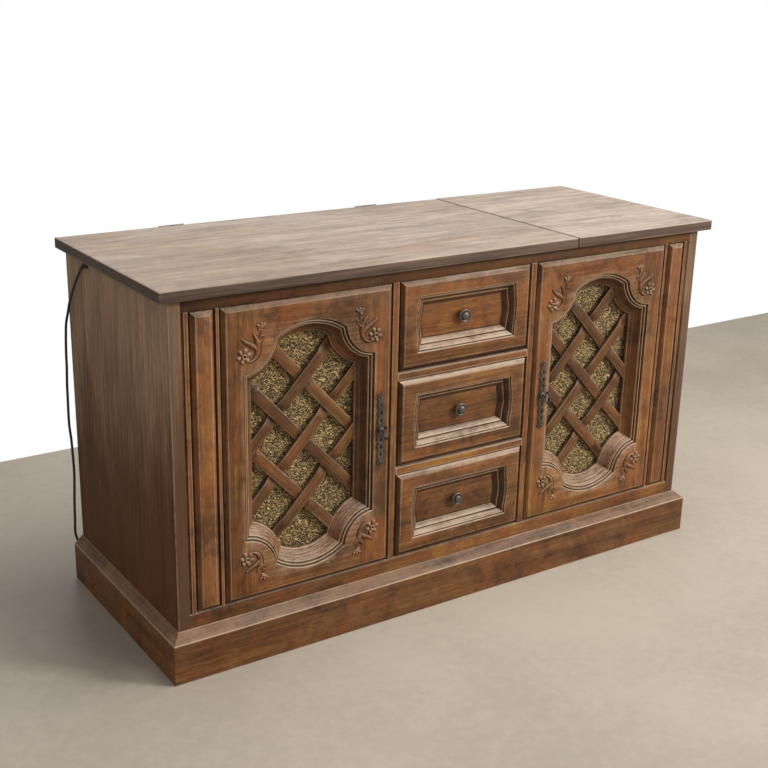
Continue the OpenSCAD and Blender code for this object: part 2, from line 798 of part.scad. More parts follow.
// Pins that the doors turn on, with their plates on the rails
module door_pins() color(iron)
  both_sides() {
    x0 = pin_x - pin_plate[0] / 2;
    y0 = y_front + 1;
    block([x0, y0, z_rail_low], [x0 + pin_plate[0], y0 + pin_plate[1], door_z0 - seat_gap]);
    block([x0, y0, door_z1 + seat_gap], [x0 + pin_plate[0], y0 + pin_plate[1], z_rail_high]);
    translate([pin_x, pin_y, z_rail_low + 1]) cylinder(r = pin_r, h = door_gap_low - 1 + pin_len);
    translate([pin_x, pin_y, door_z1 - pin_len]) cylinder(r = pin_r, h = pin_len + door_gap_high - 0.5);
  }

// Backplate of a door pull: a bar with pointed ends, a boss and a keyhole
module pull_right() color(iron) difference() {
  union() {
    facing(y_plate, y_face) translate([key_x, door_z]) polygon([
      [-plate_w * 0.3, -plate_h * 0.42], [0, -plate_h / 2], [plate_w * 0.3, -plate_h * 0.42],
      [plate_w / 2, -plate_h * 0.25], [plate_w * 0.4, 0], [plate_w / 2, plate_h * 0.25],
      [plate_w * 0.3, plate_h * 0.42], [0, plate_h / 2], [-plate_w * 0.3, plate_h * 0.42],
      [-plate_w / 2, plate_h * 0.25], [-plate_w * 0.4, 0], [-plate_w / 2, -plate_h * 0.25]]);
    rod_y(key_x, door_z, key_r + 3.5, y_plate - 4, y_plate + 1);
  }
  rod_y(key_x, door_z, key_r + shaft_clear, y_plate - 5, y_face + over);
  block([key_x - 1.5, y_plate - over, door_z - 28], [key_x + 1.5, y_face + over, door_z - 18]);
}
module pull_left() mirror([1, 0, 0]) pull_right();

// Turning key: bow, shaft through the door, and a cam behind it
module key_right() color(iron) {
  r_bow = (bow_h - bow_t) / 2;
  rod_y(key_x, door_z, key_r, y_stem - 2, y_cam + cam_t);
  translate([key_x, y_stem - bow_d / 2, door_z]) rotate([0, 90, 0])
    translate([0, 0, -bow_t / 2]) linear_extrude(bow_t) difference() {
      scale([bow_h / bow_d, 1]) circle(r = bow_d / 2);
      scale([(bow_h - 2 * bow_t) / (bow_d - 2 * bow_t), 1]) circle(r = bow_d / 2 - bow_t);
    }
  rod_y(key_x, door_z, cam_hub_r, y_cam, y_cam + cam_t);
  block([key_x - cam_w / 2, y_cam, door_z], [key_x + cam_w / 2, y_cam + cam_t, door_z + cam_len]);
}
module key_left() mirror([1, 0, 0]) key_right();

// ---------------------------------------------------------------- drawers

function drawer_z0(i) = z_rail_low + i * drawer_pitch + drawer_gap_low;

// Outline of the sunk panel, inset by d, with softly swelling ends
function panel_points(d) = let (
    w = panel_half_w - d, h = panel_half_h - d, n = 10,
    end = [for (i = [0 : n]) let (t = i / n)
      [w + panel_swell * (1 - cos(360 * t)) / 2, h * (2 * t - 1)]])
  concat(end, [for (p = end) [-p[0], -p[1]]]);

module drawer_front(i) color(oak_light)
  translate([0, 0, drawer_z0(i) + front_h / 2]) difference() {
    translate([0, y_face, 0]) bevelled_front(front_w, front_h, drawer_front_t, bevel_w, bevel_w, bevel_d);
    for (s = [0 : 3])
      facing(y_face - over, y_face + panel_sink * [0.25, 0.5, 0.8, 1][s])
        polygon(panel_points(panel_mould_w * s / 3));
  }

module drawer_box(i, h) color(inside_wood) {
  z0 = drawer_z0(i) + box_up;
  x1 = box_half_w;
  x0 = box_half_w - box_side_t;
  both_sides() block([x0, y_front_back, z0], [x1, y_box_back, z0 + h]);
  block([-x0, y_front_back, z0], [x0, y_front_back + box_side_t, z0 + h]);
  block([-x0, y_box_back - box_side_t, z0], [x0, y_box_back, z0 + h]);
  block([-x0, y_front_back + box_side_t, z0 + box_bottom_up],
    [x0, y_box_back - box_side_t, z0 + box_bottom_up + box_bottom_t]);
}

module drawer_knob(i) color(pewter)
  translate([0, y_sunk, drawer_z0(i) + front_h / 2]) rotate([90, 0, 0]) rotate_extrude()
    polygon([[0, 0], [knob_foot_r, 0], [knob_foot_r, 1.5], [knob_neck_r, 3.5],
      [knob_neck_r, knob_reach * 0.4], [knob_r - 2, knob_reach * 0.45], [knob_r, knob_reach * 0.55],
      [knob_r - 0.6, knob_reach * 0.68], [knob_r * 0.8, knob_reach * 0.72],
      [knob_r * 0.62, knob_reach * 0.74], [knob_r * 0.5, knob_reach * 0.92], [0, knob_reach]]);

module drawer_front_bottom() drawer_front(0);
module drawer_front_middle() drawer_front(1);
module drawer_front_top() drawer_front(2);
module drawer_box_bottom() drawer_box(0, box_h);
module drawer_box_middle() drawer_box(1, box_h);
module drawer_box_top() drawer_box(2, box_low_h);
module drawer_knob_bottom() drawer_knob(0);
module drawer_knob_middle() drawer_knob(1);
module drawer_knob_top() drawer_knob(2);

module drawer_runners() color(inside_wood)
  both_sides() for (i = [0 : 2]) {
    z1 = drawer_z0(i) + box_up - runner_gap;
    block([x_part - runner_w, y_front_back + 1, z1 - runner_h], [x_part, y_panel, z1]);
  }

// ---------------------------------------------------------------- loudspeakers

module baffles() color(inside_wood) {
  z_low = z_top - well_wall_h;
  both_sides() difference() {
    block([x_bay, y_baffle, z_floor], [x_in, y_deck, z_low]);
    rod_y(-bay_x, woofer_z, woofer_r, y_baffle - over, y_deck + over);
    rod_y(-bay_x, tweeter_z, tweeter_r, y_baffle - over, y_deck + over);
  }
  block([-x_in, y_baffle, z_low], [-x_bay, y_deck, z_top - 4]);
}

// A loudspeaker behind the baffle: rim, cone, and magnet; r is its opening's radius
module driver(z, r) translate([-bay_x, y_deck, z]) rotate([-90, 0, 0]) rotate_extrude()
  polygon([[r + 8, 0], [r + 8, 4], [r - 2, 4], [r * 0.42, r * 0.45], [r * 0.42, r * 0.75],
    [0, r * 0.75], [0, r * 0.3], [r * 0.3, r * 0.3], [r - 3, 2], [r - 3, 0]]);

module loudspeakers() color(black_cone)
  both_sides() {
    driver(woofer_z, woofer_r);
    driver(tweeter_z, tweeter_r);
  }

// ---------------------------------------------------------------- record changer

module deck_board() color(oak)
  difference() {
    block([-x_in, y_deck, deck_z - board_t], [-x_bay, y_panel, deck_z]);
    block([bay_x - works_w / 2 - works_gap, deck_y - works_d / 2 - works_gap, deck_z - board_t - over],
      [bay_x + works_w / 2 + works_gap, deck_y + works_d / 2 + works_gap, deck_z + over]);
  }

module changer_base() color(silver_grey) difference() {
  union() {
    block([bay_x - changer_w / 2, deck_y - changer_d / 2, deck_z],
      [bay_x + changer_w / 2, deck_y + changer_d / 2, changer_z]);
    block([bay_x - works_w / 2, deck_y - works_d / 2, deck_z - works_h],
      [bay_x + works_w / 2, deck_y + works_d / 2, deck_z + over]);
  }
  // The closed space that the works fill
  block([bay_x - works_w / 2 + sheet, deck_y - works_d / 2 + sheet, deck_z - works_h + sheet],
    [bay_x + works_w / 2 - sheet, deck_y + works_d / 2 - sheet, changer_z - 3 * sheet]);
  translate([lever_x, lever_y, changer_z - 5]) cylinder(r = lever_pin_r + shaft_clear, h = 6);
}

module spindle() color(silver_grey) translate([platter_x, platter_y, changer_z]) {
  cylinder(r = spindle_r, h = mat_z - changer_z + spindle_up - 4);
  translate([0, 0, mat_z - changer_z + spindle_up - 4]) cylinder(r1 = spindle_r, r2 = 1.5, h = 4);
}

module platter() color(silver_grey) translate([platter_x, platter_y, 0]) difference() {
  union() {
    translate([0, 0, changer_z + turn_gap]) cylinder(r = 14, h = platter_z - changer_z);
    translate([0, 0, platter_z]) cylinder(r = platter_r, h = platter_t);
  }
  translate([0, 0, changer_z]) cylinder(r = spindle_r + shaft_clear, h = 40);
}

module platter_mat() color(iron) translate([platter_x, platter_y, mat_z]) difference() {
  union() {
    cylinder(r = platter_r - 4, h = mat_t - 1);
    for (r = [60, 85, 110, platter_r - 8]) difference() {
      cylinder(r = r, h = mat_t);
      translate([0, 0, mat_t - 1]) cylinder(r = r - 5, h = 2);
    }
  }
  translate([0, 0, -over]) cylinder(r = spindle_r + 0.3, h = 20);
}

module arm_post() color(pewter) {
  translate([arm_x, arm_y, changer_z]) {
    cylinder(r = arm_foot_r, h = arm_foot_h);
    cylinder(r = arm_post_r, h = arm_post_h - turn_gap);
    cylinder(r = arm_pin_r, h = arm_post_h + arm_pin_up);
  }
  // The arm's rest: open on the side that the arm swings to
  rest_h = arm_z - changer_z - arm_r - turn_gap;
  translate([arm_x, rest_y, changer_z]) {
    cylinder(r = 5, h = rest_h);
    translate([-5, -4, rest_h - 3]) cube([14, 8, 3]);
    translate([arm_r + turn_gap, -4, rest_h - 3]) cube([9 - arm_r - turn_gap, 8, 9]);
  }
}

module tonearm() color(silver_grey) translate([arm_x, arm_y, 0]) {
  difference() {
    translate([0, 0, arm_pivot_z]) cylinder(r = arm_hub_r, h = arm_hub_h);
    translate([0, 0, arm_pivot_z - over])
      cylinder(r = arm_pin_r + shaft_clear, h = arm_pin_up + 2 * over);
  }
  rod_y(0, arm_z, arm_r, -arm_len, 0.5 - arm_hub_r);
  rod_y(0, arm_z, arm_r, arm_hub_r - 0.5, weight_y + over);
  rod_y(0, arm_z, weight_r, weight_y, weight_y + weight_len);
  // Head and, under it, the cartridge
  y_head = over - arm_len - head_len;
  z_head = arm_z - 0.6 * head_h;
  block([-head_w / 2, y_head, z_head], [head_w / 2, y_head + head_len, z_head + head_h]);
  block([-head_w / 3, y_head + 6, z_head - 2.5], [head_w / 3, y_head + head_len - 14, z_head + over]);
}

module play_lever() color(silver_grey) translate([lever_x, lever_y, changer_z]) {
  translate([0, 0, turn_gap]) cylinder(r = 8, h = 5);
  translate([0, 0, -4]) cylinder(r = lever_pin_r, h = 6);
  translate([-3, -30, turn_gap]) cube([6, 30, 4]);
  translate([0, -30, turn_gap]) cylinder(r = 5, h = 9);
}

// ---------------------------------------------------------------- tuner

// Cuts that the dial, shafts and buttons need, in the panel and the case alike
module control_cuts() {
  translate([-dial_w / 2, dial_y - dial_d / 2, panel_z - 8]) cube([dial_w, dial_d, 20]);
  for (x = [volume_x, tone_x, tuning_x])
    translate([x, row_y, panel_z - shaft_down - 1])
      cylinder(r = control_shaft_r + shaft_clear, h = 30);
  for (x = button_x)
    translate([x - button_w / 2 - button_gap, row_y - button_d / 2 - button_gap,
      panel_z - button_down - button_travel - 1])
      cube([button_w + 2 * button_gap, button_d + 2 * button_gap, 30]);
}

// Walls round those cuts inside the case
module control_walls() {
  translate([-dial_w / 2 - 2, dial_y - dial_d / 2 - 2, panel_z - 10]) cube([dial_w + 4, dial_d + 4, 10]);
  for (x = [volume_x, tone_x, tuning_x])
    translate([x, row_y, panel_z - shaft_down - 3]) cylinder(r = boss_r, h = shaft_down + 3);
  translate([button_x[0] - button_w, row_y - button_d, panel_z - button_down - button_travel - 3])
    cube([button_x[2] - button_x[0] + 2 * button_w, 2 * button_d, button_down + button_travel + 3]);
}

module tuner_case() color(pewter) difference() {
  block([-case_w / 2, case_y0, case_z0], [case_w / 2, case_y1, panel_z]);
  difference() {
    block([case_t - case_w / 2, case_y0 + case_t, case_z0 + case_t],
      [case_w / 2 - case_t, case_y1 - case_t, panel_z - case_t]);
    control_walls();
  }
  control_cuts();
}

module control_panel() color(black_cone) difference() {
  block([-x_bay, y_frame + 5, panel_z], [x_wall, y_back - rear_rail_d, control_z]);
  control_cuts();
}

module dial_glass() color("white", 0.4)
  block([-dial_w / 2 - 4, dial_y - dial_d / 2 - 4, control_z],
    [dial_w / 2 + 4, dial_y + dial_d / 2 + 4, control_z + 2]);

module dial_pointer() color("orangered")
  block([-1, dial_y - dial_d / 2 + 1, panel_z - 8 + turn_gap],
    [1, dial_y + dial_d / 2 - 1, control_z - 1]);

module control_knob(x, r) color(silver_grey) translate([x, row_y, control_z + turn_gap]) {
  cylinder(r = r, h = control_h * 0.7);
  translate([0, 0, control_h * 0.7]) cylinder(r1 = r, r2 = r - 3, h = control_h * 0.3);
  translate([0, 0, -panel_t - turn_gap - shaft_down])
    cylinder(r = control_shaft_r, h = shaft_down + panel_t + 2);
}
module volume_knob() control_knob(volume_x, control_r);
module tone_knob() control_knob(tone_x, control_r);
module tuning_knob() control_knob(tuning_x, tuning_r);

module push_button(i) color(silver_grey)
  block([button_x[i] - button_w / 2, row_y - button_d / 2, panel_z - button_down],
    [button_x[i] + button_w / 2, row_y + button_d / 2, control_z + button_up]);
module phono_button() push_button(0);
module am_button() push_button(1);
module fm_button() push_button(2);

// ---------------------------------------------------------------- mains cord

// Bush that closes the notch in the left side, where the cord comes out
module cable_grommet() color(iron)
  block([-x_side - 2, grommet_y - grommet_w / 2, z_top - grommet_h],
    [-x_in, grommet_y + grommet_w / 2, z_top]);

// Rounded route through the chosen points: two steps between neighbours
function smooth(p) = [for (i = [0 : len(p) - 2]) each let (
    a = p[max(i - 1, 0)], b = p[i], c = p[i + 1], d = p[min(i + 2, len(p) - 1)])
  [b, (9 * (b + c) - a - d) / 16]];
function route(p) = concat(smooth(p), [p[len(p) - 1]]);
function unit(v) = v / norm(v);
function tangent(p, i) = unit(p[min(i + 1, len(p) - 1)] - p[max(i - 1, 0)]);
// A cross direction carried along the route without twist
function carry(p, i = 0, last = [0, 0.2, 1]) = i == len(p) ? [] :
  let (t = tangent(p, i), n = unit(last - t * (last * t)))
  concat([n], carry(p, i + 1, n));

// A tube swept along a route with flat ends
module tube(points, sides = 8) {
  p = route(points);
  n = carry(p);
  rings = len(p);
  verts = [for (i = [0 : rings - 1]) let (t = tangent(p, i), b = cross(t, n[i]))
    for (k = [0 : sides - 1]) let (a = 360 * (k + 0.5) / sides)
      p[i] + cord_r * (cos(a) * n[i] + sin(a) * b)];
  walls = [for (i = [0 : rings - 2], k = [0 : sides - 1]) let (
      a = i * sides + k, b = i * sides + (k + 1) % sides)
    each [[a, b + sides, b], [a, a + sides, b + sides]]];
  polyhedron(verts, concat([[for (k = [0 : sides - 1]) k]], walls,
    [[for (k = [sides - 1 : -1 : 0]) (rings - 1) * sides + k]]), convexity = 6);
}

module mains_cord() color(black_cone) {
  tube(cord_hang);
  tube(cord_tail);
}

module cord_coil() color(black_cone) translate([coil_x, coil_y, 0]) rotate_extrude()
  translate([coil_mid_r - coil_turns_w * cord_r, 0.1])
    square([coil_turns_w * cord_d, coil_layers * cord_d]);

module plug() color(black_cone) {
  translate(cord_tail[len(cord_tail) - 1]) {
    translate([0, -plug_w / 2, -plug_t / 2]) cube([plug_len, plug_w, plug_t]);
    for (s = [-1, 1])
      translate([plug_len - 1, s * 6.5 - 3, -0.75]) cube([18, 6, 1.5]);
  }
}

side_left();
side_right();
base_moulding();
corner_blocks();
rear_rails();
bottom_board();
partitions();
face_frame();
pilasters();
top_right();
back_panel();
back_screws();
deck_board();
drawer_runners();
baffles();
loudspeakers();
door_pins();
changer_base();
spindle();
arm_post();
tuner_case();
control_panel();
dial_glass();
cable_grommet();
fixed_hinge_leaves();
platter();
platter_mat();
tonearm();
play_lever();
volume_knob();
tone_knob();
tuning_knob();
dial_pointer();
phono_button();
am_button();
fm_button();
lid_panel();
lid_hinge_leaves();
door_left();
door_right();
lattice_left();
lattice_right();
cloth_left();
cloth_right();
pull_left();
pull_right();
key_left();
key_right();
drawer_front_top();
drawer_front_middle();
drawer_front_bottom();
drawer_box_top();
drawer_box_middle();
drawer_box_bottom();
drawer_knob_top();
drawer_knob_middle();
drawer_knob_bottom();
mains_cord();
cord_coil();
plug();
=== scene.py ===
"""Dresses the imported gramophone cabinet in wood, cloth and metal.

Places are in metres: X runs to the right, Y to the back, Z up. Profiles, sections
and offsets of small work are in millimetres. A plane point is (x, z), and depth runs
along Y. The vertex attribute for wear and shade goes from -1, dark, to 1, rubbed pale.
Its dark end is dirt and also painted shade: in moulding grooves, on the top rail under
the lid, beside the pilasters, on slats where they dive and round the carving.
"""
import math

import bmesh
import bpy
from mathutils import Matrix, Vector


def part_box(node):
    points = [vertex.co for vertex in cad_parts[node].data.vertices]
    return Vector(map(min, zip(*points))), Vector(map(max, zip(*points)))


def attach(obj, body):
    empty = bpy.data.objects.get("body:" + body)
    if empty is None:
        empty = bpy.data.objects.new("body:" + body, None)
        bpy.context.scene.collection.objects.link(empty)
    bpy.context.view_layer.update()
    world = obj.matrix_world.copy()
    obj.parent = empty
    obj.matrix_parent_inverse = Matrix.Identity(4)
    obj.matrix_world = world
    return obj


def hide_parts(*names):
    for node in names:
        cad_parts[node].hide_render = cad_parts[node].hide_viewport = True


bl_info = {
    "name": "Gramophone cabinet",
    "version": (1, 0, 0),
    "blender": (4, 5, 0),
    "location": "View3D > Sidebar > Cabinet",
    "description": "Builds the visible pieces of a gramophone cabinet on its frame",
    "category": "Object",
}

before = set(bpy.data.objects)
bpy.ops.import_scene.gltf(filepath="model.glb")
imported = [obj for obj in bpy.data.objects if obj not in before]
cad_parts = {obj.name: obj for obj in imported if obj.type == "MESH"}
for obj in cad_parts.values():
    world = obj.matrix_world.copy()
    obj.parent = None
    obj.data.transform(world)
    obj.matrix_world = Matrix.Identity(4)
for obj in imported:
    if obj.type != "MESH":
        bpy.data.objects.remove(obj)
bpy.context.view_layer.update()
MM = 0.001
SIDES = ("left", "right")

# Places that more than one piece shares
FACE = -0.222            # front of doors and pilasters
DOOR_MIDDLE = 0.3875     # height of the doors' middle
PLATTER = (-0.39075, 0.034)
ARM = (-0.23275, 0.138)
LEVER = (-0.21475, -0.067)
DIAL_Y, KNOB_Y = 0.085, -0.06


# ---------------------------------------------------------------- settings


def length(label, description, default, low, high):
    return bpy.props.FloatProperty(name=label, description=description, default=default,
                                   min=low, max=high, subtype="DISTANCE", unit="LENGTH")


def colour(label, description, default):
    return bpy.props.FloatVectorProperty(name=label, description=description, default=default,
                                         size=3, min=0, max=1, subtype="COLOR")


class CabinetSizes(bpy.types.PropertyGroup):
    """Sizes of the carved and moulded work"""

    door_mould: length("Door moulding", "Width of the moulding round a door's opening",
                       0.029, 0.026, 0.032)
    drawer_mould: length("Drawer moulding", "Width of the moulding round a drawer's panel",
                         0.022, 0.018, 0.024)
    slat_width: length("Slat width", "Width of a lattice slat", 0.0208, 0.018, 0.026)
    flower_size: length("Flower size", "Width of a carved flower", 0.025, 0.018, 0.03)
    cord_diameter: length("Cord diameter", "Thickness of the mains lead", 0.005, 0.004, 0.006)


class CabinetColours(bpy.types.PropertyGroup):
    """Colours of the finishes, as they are written in the materials"""

    oak: colour("Stained oak", "Middle tone of the stained wood", (0.198, 0.084, 0.027))
    top: colour("Faded top", "Middle tone of the faded top boards", (0.49, 0.388, 0.314))
    side: colour("Side veneer", "Middle tone of the side panels", (0.132, 0.073, 0.043))
    cloth: colour("Grille cloth", "Light thread of the grille cloth", (0.36, 0.245, 0.1))


# ---------------------------------------------------------------- nodes


class Signal:
    """A socket that carries a number, with arithmetic on it"""

    def __init__(self, nodes, socket):
        self.nodes, self.socket = nodes, socket

    def _math(self, operation, *values):
        node = self.nodes.node("ShaderNodeMath", {"operation": operation},
                               dict(enumerate(values)))
        return Signal(self.nodes, node.outputs[0])

    def __add__(self, other):
        return self._math("ADD", self, other)

    def __sub__(self, other):
        return self._math("SUBTRACT", self, other)

    def __rsub__(self, other):
        return self._math("SUBTRACT", other, self)

    def __mul__(self, other):
        return self._math("MULTIPLY", self, other)

    def __pow__(self, other):
        return self._math("POWER", self, other)

    __radd__ = __add__
    __rmul__ = __mul__

    def size(self):
        return self._math("ABSOLUTE", self)

    def most(self, other):
        return self._math("MAXIMUM", self, other)

    def between(self, low, high):
        """0 to 1 as the signal goes smoothly from low to high"""
        node = self.nodes.node("ShaderNodeMapRange", {"interpolation_type": "SMOOTHSTEP"},
                               {"Value": self, "From Min": low, "From Max": high})
        return Signal(self.nodes, node.outputs[0])


class Nodes:
    """The nodes of a material or a world, built from nothing"""

    def __init__(self, owner):
        owner.use_nodes = True
        self.tree = owner.node_tree
        self.tree.nodes.clear()

    def feed(self, node, inputs):
        """Values or links for a node's sockets"""
        for key, value in inputs.items():
            socket = node.inputs[key]
            value = value.socket if isinstance(value, Signal) else value
            if isinstance(value, bpy.types.NodeSocket):
                self.tree.links.new(value, socket)
            else:
                socket.default_value = (*value, 1.0) if socket.type == "RGBA" else value

    def node(self, kind, settings=None, inputs=None):
        """A node of that type: settings go first, then values or links by socket"""
        node = self.tree.nodes.new(kind)
        for key, value in (settings or {}).items():
            setattr(node, key, value)
        self.feed(node, inputs or {})
        return node


class Paint(Nodes):
    """One material: layers of colour over a base, then roughness and relief"""

    made = {}

    def __init__(self, name):
        self.material = bpy.data.materials.new(name)
        super().__init__(self.material)
        self.shader = self.node("ShaderNodeBsdfPrincipled")
        self.node("ShaderNodeOutputMaterial", None, {"Surface": self.shader.outputs[0]})
        Paint.made[name] = self.material

    def place(self, stretch=(1, 1, 1), move=(0, 0, 0), turn=(0, 0, 0)):
        """Object coordinates, turned, then stretched and moved"""
        source = self.node("ShaderNodeTexCoord").outputs["Object"]
        if any(turn):
            source = self.node("ShaderNodeMapping", None,
                               {"Vector": source, "Rotation": turn}).outputs[0]
        return self.node("ShaderNodeMapping", None, {
            "Vector": source, "Scale": stretch, "Location": move}).outputs[0]

    def axes(self, source="Object"):
        """The three parts of the coordinates of that name, or of a vector"""
        if isinstance(source, str):
            source = self.node("ShaderNodeTexCoord").outputs[source]
        split = self.node("ShaderNodeSeparateXYZ", None, {0: source})
        return [Signal(self, socket) for socket in split.outputs]

    def noise(self, scale, detail=3.0, roughness=0.6, distortion=0.0, vector=None, **place):
        node = self.node("ShaderNodeTexNoise", None, {
            "Vector": vector or self.place(**place), "Scale": scale, "Detail": detail,
            "Roughness": roughness, "Distortion": distortion})
        return Signal(self, node.outputs["Fac"])

    def wear(self):
        node = self.node("ShaderNodeAttribute", {"attribute_name": "wear"})
        return Signal(self, node.outputs["Fac"])

    def mix(self, factor, first, second):
        return self.node("ShaderNodeMix", {"data_type": "RGBA"},
                         {0: factor, 6: first, 7: second}).outputs[2]

    def shade(self, tone, factor):
        """A colour brightened or darkened by a number"""
        return self.node("ShaderNodeVectorMath", {"operation": "SCALE"},
                         {0: tone, "Scale": factor}).outputs[0]

    def over(self, factor, tone):
        """Lays a colour over the base"""
        self.base = self.mix(factor, self.base, tone)

    def dim(self, factor):
        self.base = self.shade(self.base, factor)

    def finish(self, roughness, relief=None, height=0.0, **fixed):
        inputs = {"Base Color": self.base, "Roughness": roughness}
        if relief:
            inputs["Normal"] = self.node("ShaderNodeBump", None, {
                "Height": relief, "Distance": height, "Strength": 1.0}).outputs[0]
        inputs.update({key.replace("_", " "): value for key, value in fixed.items()})
        self.feed(self.shader, inputs)


def tint(tone, *factors):
    """A colour times one factor, or times one for each channel"""
    return tuple(min(1.0, c * f) for c, f in zip(tone, factors * 3))


# ---------------------------------------------------------------- finishes

# Turns of the coordinates for grain along an axis, or along the slats that rise or fall
TURNS = {"X": (0, 0, 0), "Y": (0, 0, math.radians(90)), "Z": (0, math.radians(90), 0),
         "up": (0, math.radians(46.8), 0), "down": (0, math.radians(-46.8), 0)}
RUBBED_OAK, RUBBED_VENEER = (0.46, 0.32, 0.2), (0.36, 0.26, 0.19)
DUST_THIN, DUST_THICK = (0.3, 0.2, 0.13), (0.56, 0.44, 0.33)
TOP_EDGE = (0.6978, 0.6988)         # heights between which the top's edge turns pale
SIDE_CORNER = ((-0.2150, -0.2168), (0.5945, 0.5968))    # depth and width of a side's corner


def grain(paint, axis, seed):
    """Three grain patterns along an axis: broad figure, fine streaks and pores"""
    return [paint.noise(1.0, detail, roughness, bend, stretch=(along, across, across),
                        move=(seed, seed * 1.7, seed * 0.6), turn=TURNS[axis])
            for along, across, detail, roughness, bend in (
                (1.6, 14, 4.0, 0.6, 0.6), (6, 210, 3.0, 0.65, 0.0), (45, 900, 2.0, 0.5, 0.0))]


def stained_wood(name, tone, axis, seed, patches=1.0, gloss=0.42, dust=0.0, painted_shade=0.0,
                 rails=None):
    """Stained oak with uneven, rubbed patches, worn edges, dust, and dark hollows of dirt and
    painted shade

    rails gives the middle and half length of a door's rails: past them the grain
    stands upright.
    """
    paint = Paint(name)
    patterns = grain(paint, axis, seed)
    if rails:
        middle, reach = rails
        off = (paint.axes()[0].size() - middle).size().between(reach, reach + 0.012)
        patterns = [rail + (stile - rail) * off
                    for rail, stile in zip(patterns, grain(paint, "Z", seed + 3))]
    figure, streaks, pores = patterns
    blotch = paint.noise(13.0, 4.0, 0.6, 0.4, move=(seed * 2.3, 0, seed))
    cloudy = paint.noise(6.5, 5.0, 0.66, 0.5, move=(0, seed * 3.1, seed * 1.3))
    rubs = paint.noise(30.0, 5.0, 0.72, 0.6, move=(seed, 2.2, seed))
    paint.base = tone
    for mask, strength, factors in (
            (blotch.between(0.4, 0.6), 1.0, (1.1, 0.88, 0.72)),
            ((cloudy + (streaks - 0.5) * 0.25).between(0.52, 0.66), 0.9, (1.4, 1.48, 0.9)),
            ((cloudy + (rubs - 0.5) * 0.3).between(0.47, 0.33), 0.75, (0.42, 0.42, 0.46))):
        paint.over(mask * (strength * patches), tint(tone, *factors))
    paint.dim((0.4 + figure.between(0.32, 0.68) * 0.62 + streaks.between(0.3, 0.7) * 0.5
               + (rubs - 0.5) * 1.1).most(0.25))
    paint.over(pores.between(0.55, 0.66) * streaks.between(0.42, 0.6) * 0.8, tint(tone, 0.16))
    nx, _, nz = paint.axes("Normal")
    wear = paint.wear()
    paint.over((wear * (0.2 + streaks * 0.8 + rubs * 0.9)).between(0.45, 1.0) * 0.75, RUBBED_OAK)
    # Dark where the vertex value is below 0: dirt, and painted shade in grooves and recesses
    dirt_and_shade = (wear * -1.0).between(0.05, 0.9)
    # Painted shade on faces turned to the left, away from the key lamp, and on faces turned down
    if painted_shade:
        dirt_and_shade = dirt_and_shade.most(nx.between(-0.25, -0.8) * painted_shade).most(nz.between(-0.2, -0.7) * 0.6)
    # The dirt and painted shade are laid on as a near-black tone
    paint.over(dirt_and_shade * 0.9, tint(tone, 0.09))
    if dust:
        thick = (rubs * 0.8 + streaks * 0.9).between(0.5, 0.98)
        settled = nz.between(0.05, 0.8) * (0.45 + thick * 0.55) * (1 - dirt_and_shade * 0.8) * dust
        paint.over(settled * (0.6 + wear.most(0.0) * 0.6), paint.mix(thick, DUST_THIN, DUST_THICK))
    paint.finish(gloss + streaks * 0.2 + blotch * 0.1, streaks * 0.6 + pores * 0.6 + rubs * 0.3,
                 0.00035, Specular_IOR_Level=0.33)


def faded_wood(name, tone, edge, seed):
    """Top board: bleached grain on the upper face, darker stain along the edges"""
    paint = Paint(name)
    figure, streaks, pores = grain(paint, "X", seed)
    fine = paint.noise(1.0, 5.0, 0.75, stretch=(7, 75, 75), move=(seed, 0, 0))
    cloudy = paint.noise(2.6, 4.0, 0.6, 0.5, stretch=(1, 2.2, 1), move=(seed, seed, 0))
    smears = paint.noise(2.0, 5.0, 0.65, 1.2, stretch=(3, 9, 3), move=(seed * 2, 1, 0))
    spots = paint.noise(34.0, 5.0, 0.7, 0.3, move=(seed, 4, 0))
    x, _, z = paint.axes()
    paint.base = paint.mix((cloudy + x * 0.35 + 0.07).between(0.38, 0.62),
                           tint(tone, 0.93, 0.86, 0.77), tint(tone, 1.16, 1.18, 1.22))
    paint.over((smears + (streaks - 0.5) * 0.4).between(0.5, 0.7) * 0.75,
               tint(tone, 0.7, 0.72, 0.72))
    paint.dim(0.3 + figure.between(0.3, 0.7) * 0.28 + fine.between(0.2, 0.8) * 0.46
              + streaks.between(0.3, 0.7) * 0.3 + (spots - 0.5) * 0.5)
    for mask, factor in (
            (streaks.between(0.54, 0.7) * figure.between(0.42, 0.6) * 0.5, 0.45),
            (pores.between(0.56, 0.68) * fine.between(0.4, 0.6) * 0.5, 0.42),
            (spots.between(0.66, 0.74) * 0.4, 0.5), (spots.between(0.34, 0.28) * 0.4, 1.45)):
        paint.over(mask, tint(tone, factor))
    stain = paint.shade(paint.mix(streaks.between(0.3, 0.7), tint(edge, 0.5), tint(edge, 1.4)),
                        0.4 + figure * 1.1)
    paint.base = paint.mix((z + (streaks - 0.5) * 0.0006).between(*TOP_EDGE), stain, paint.base)
    paint.over((paint.wear() * (0.2 + streaks + spots * 0.3)).between(0.45, 0.9) * 0.55,
               RUBBED_VENEER)
    paint.finish(0.5 + streaks * 0.18, streaks * 0.6 + pores * 0.5, 0.0003)


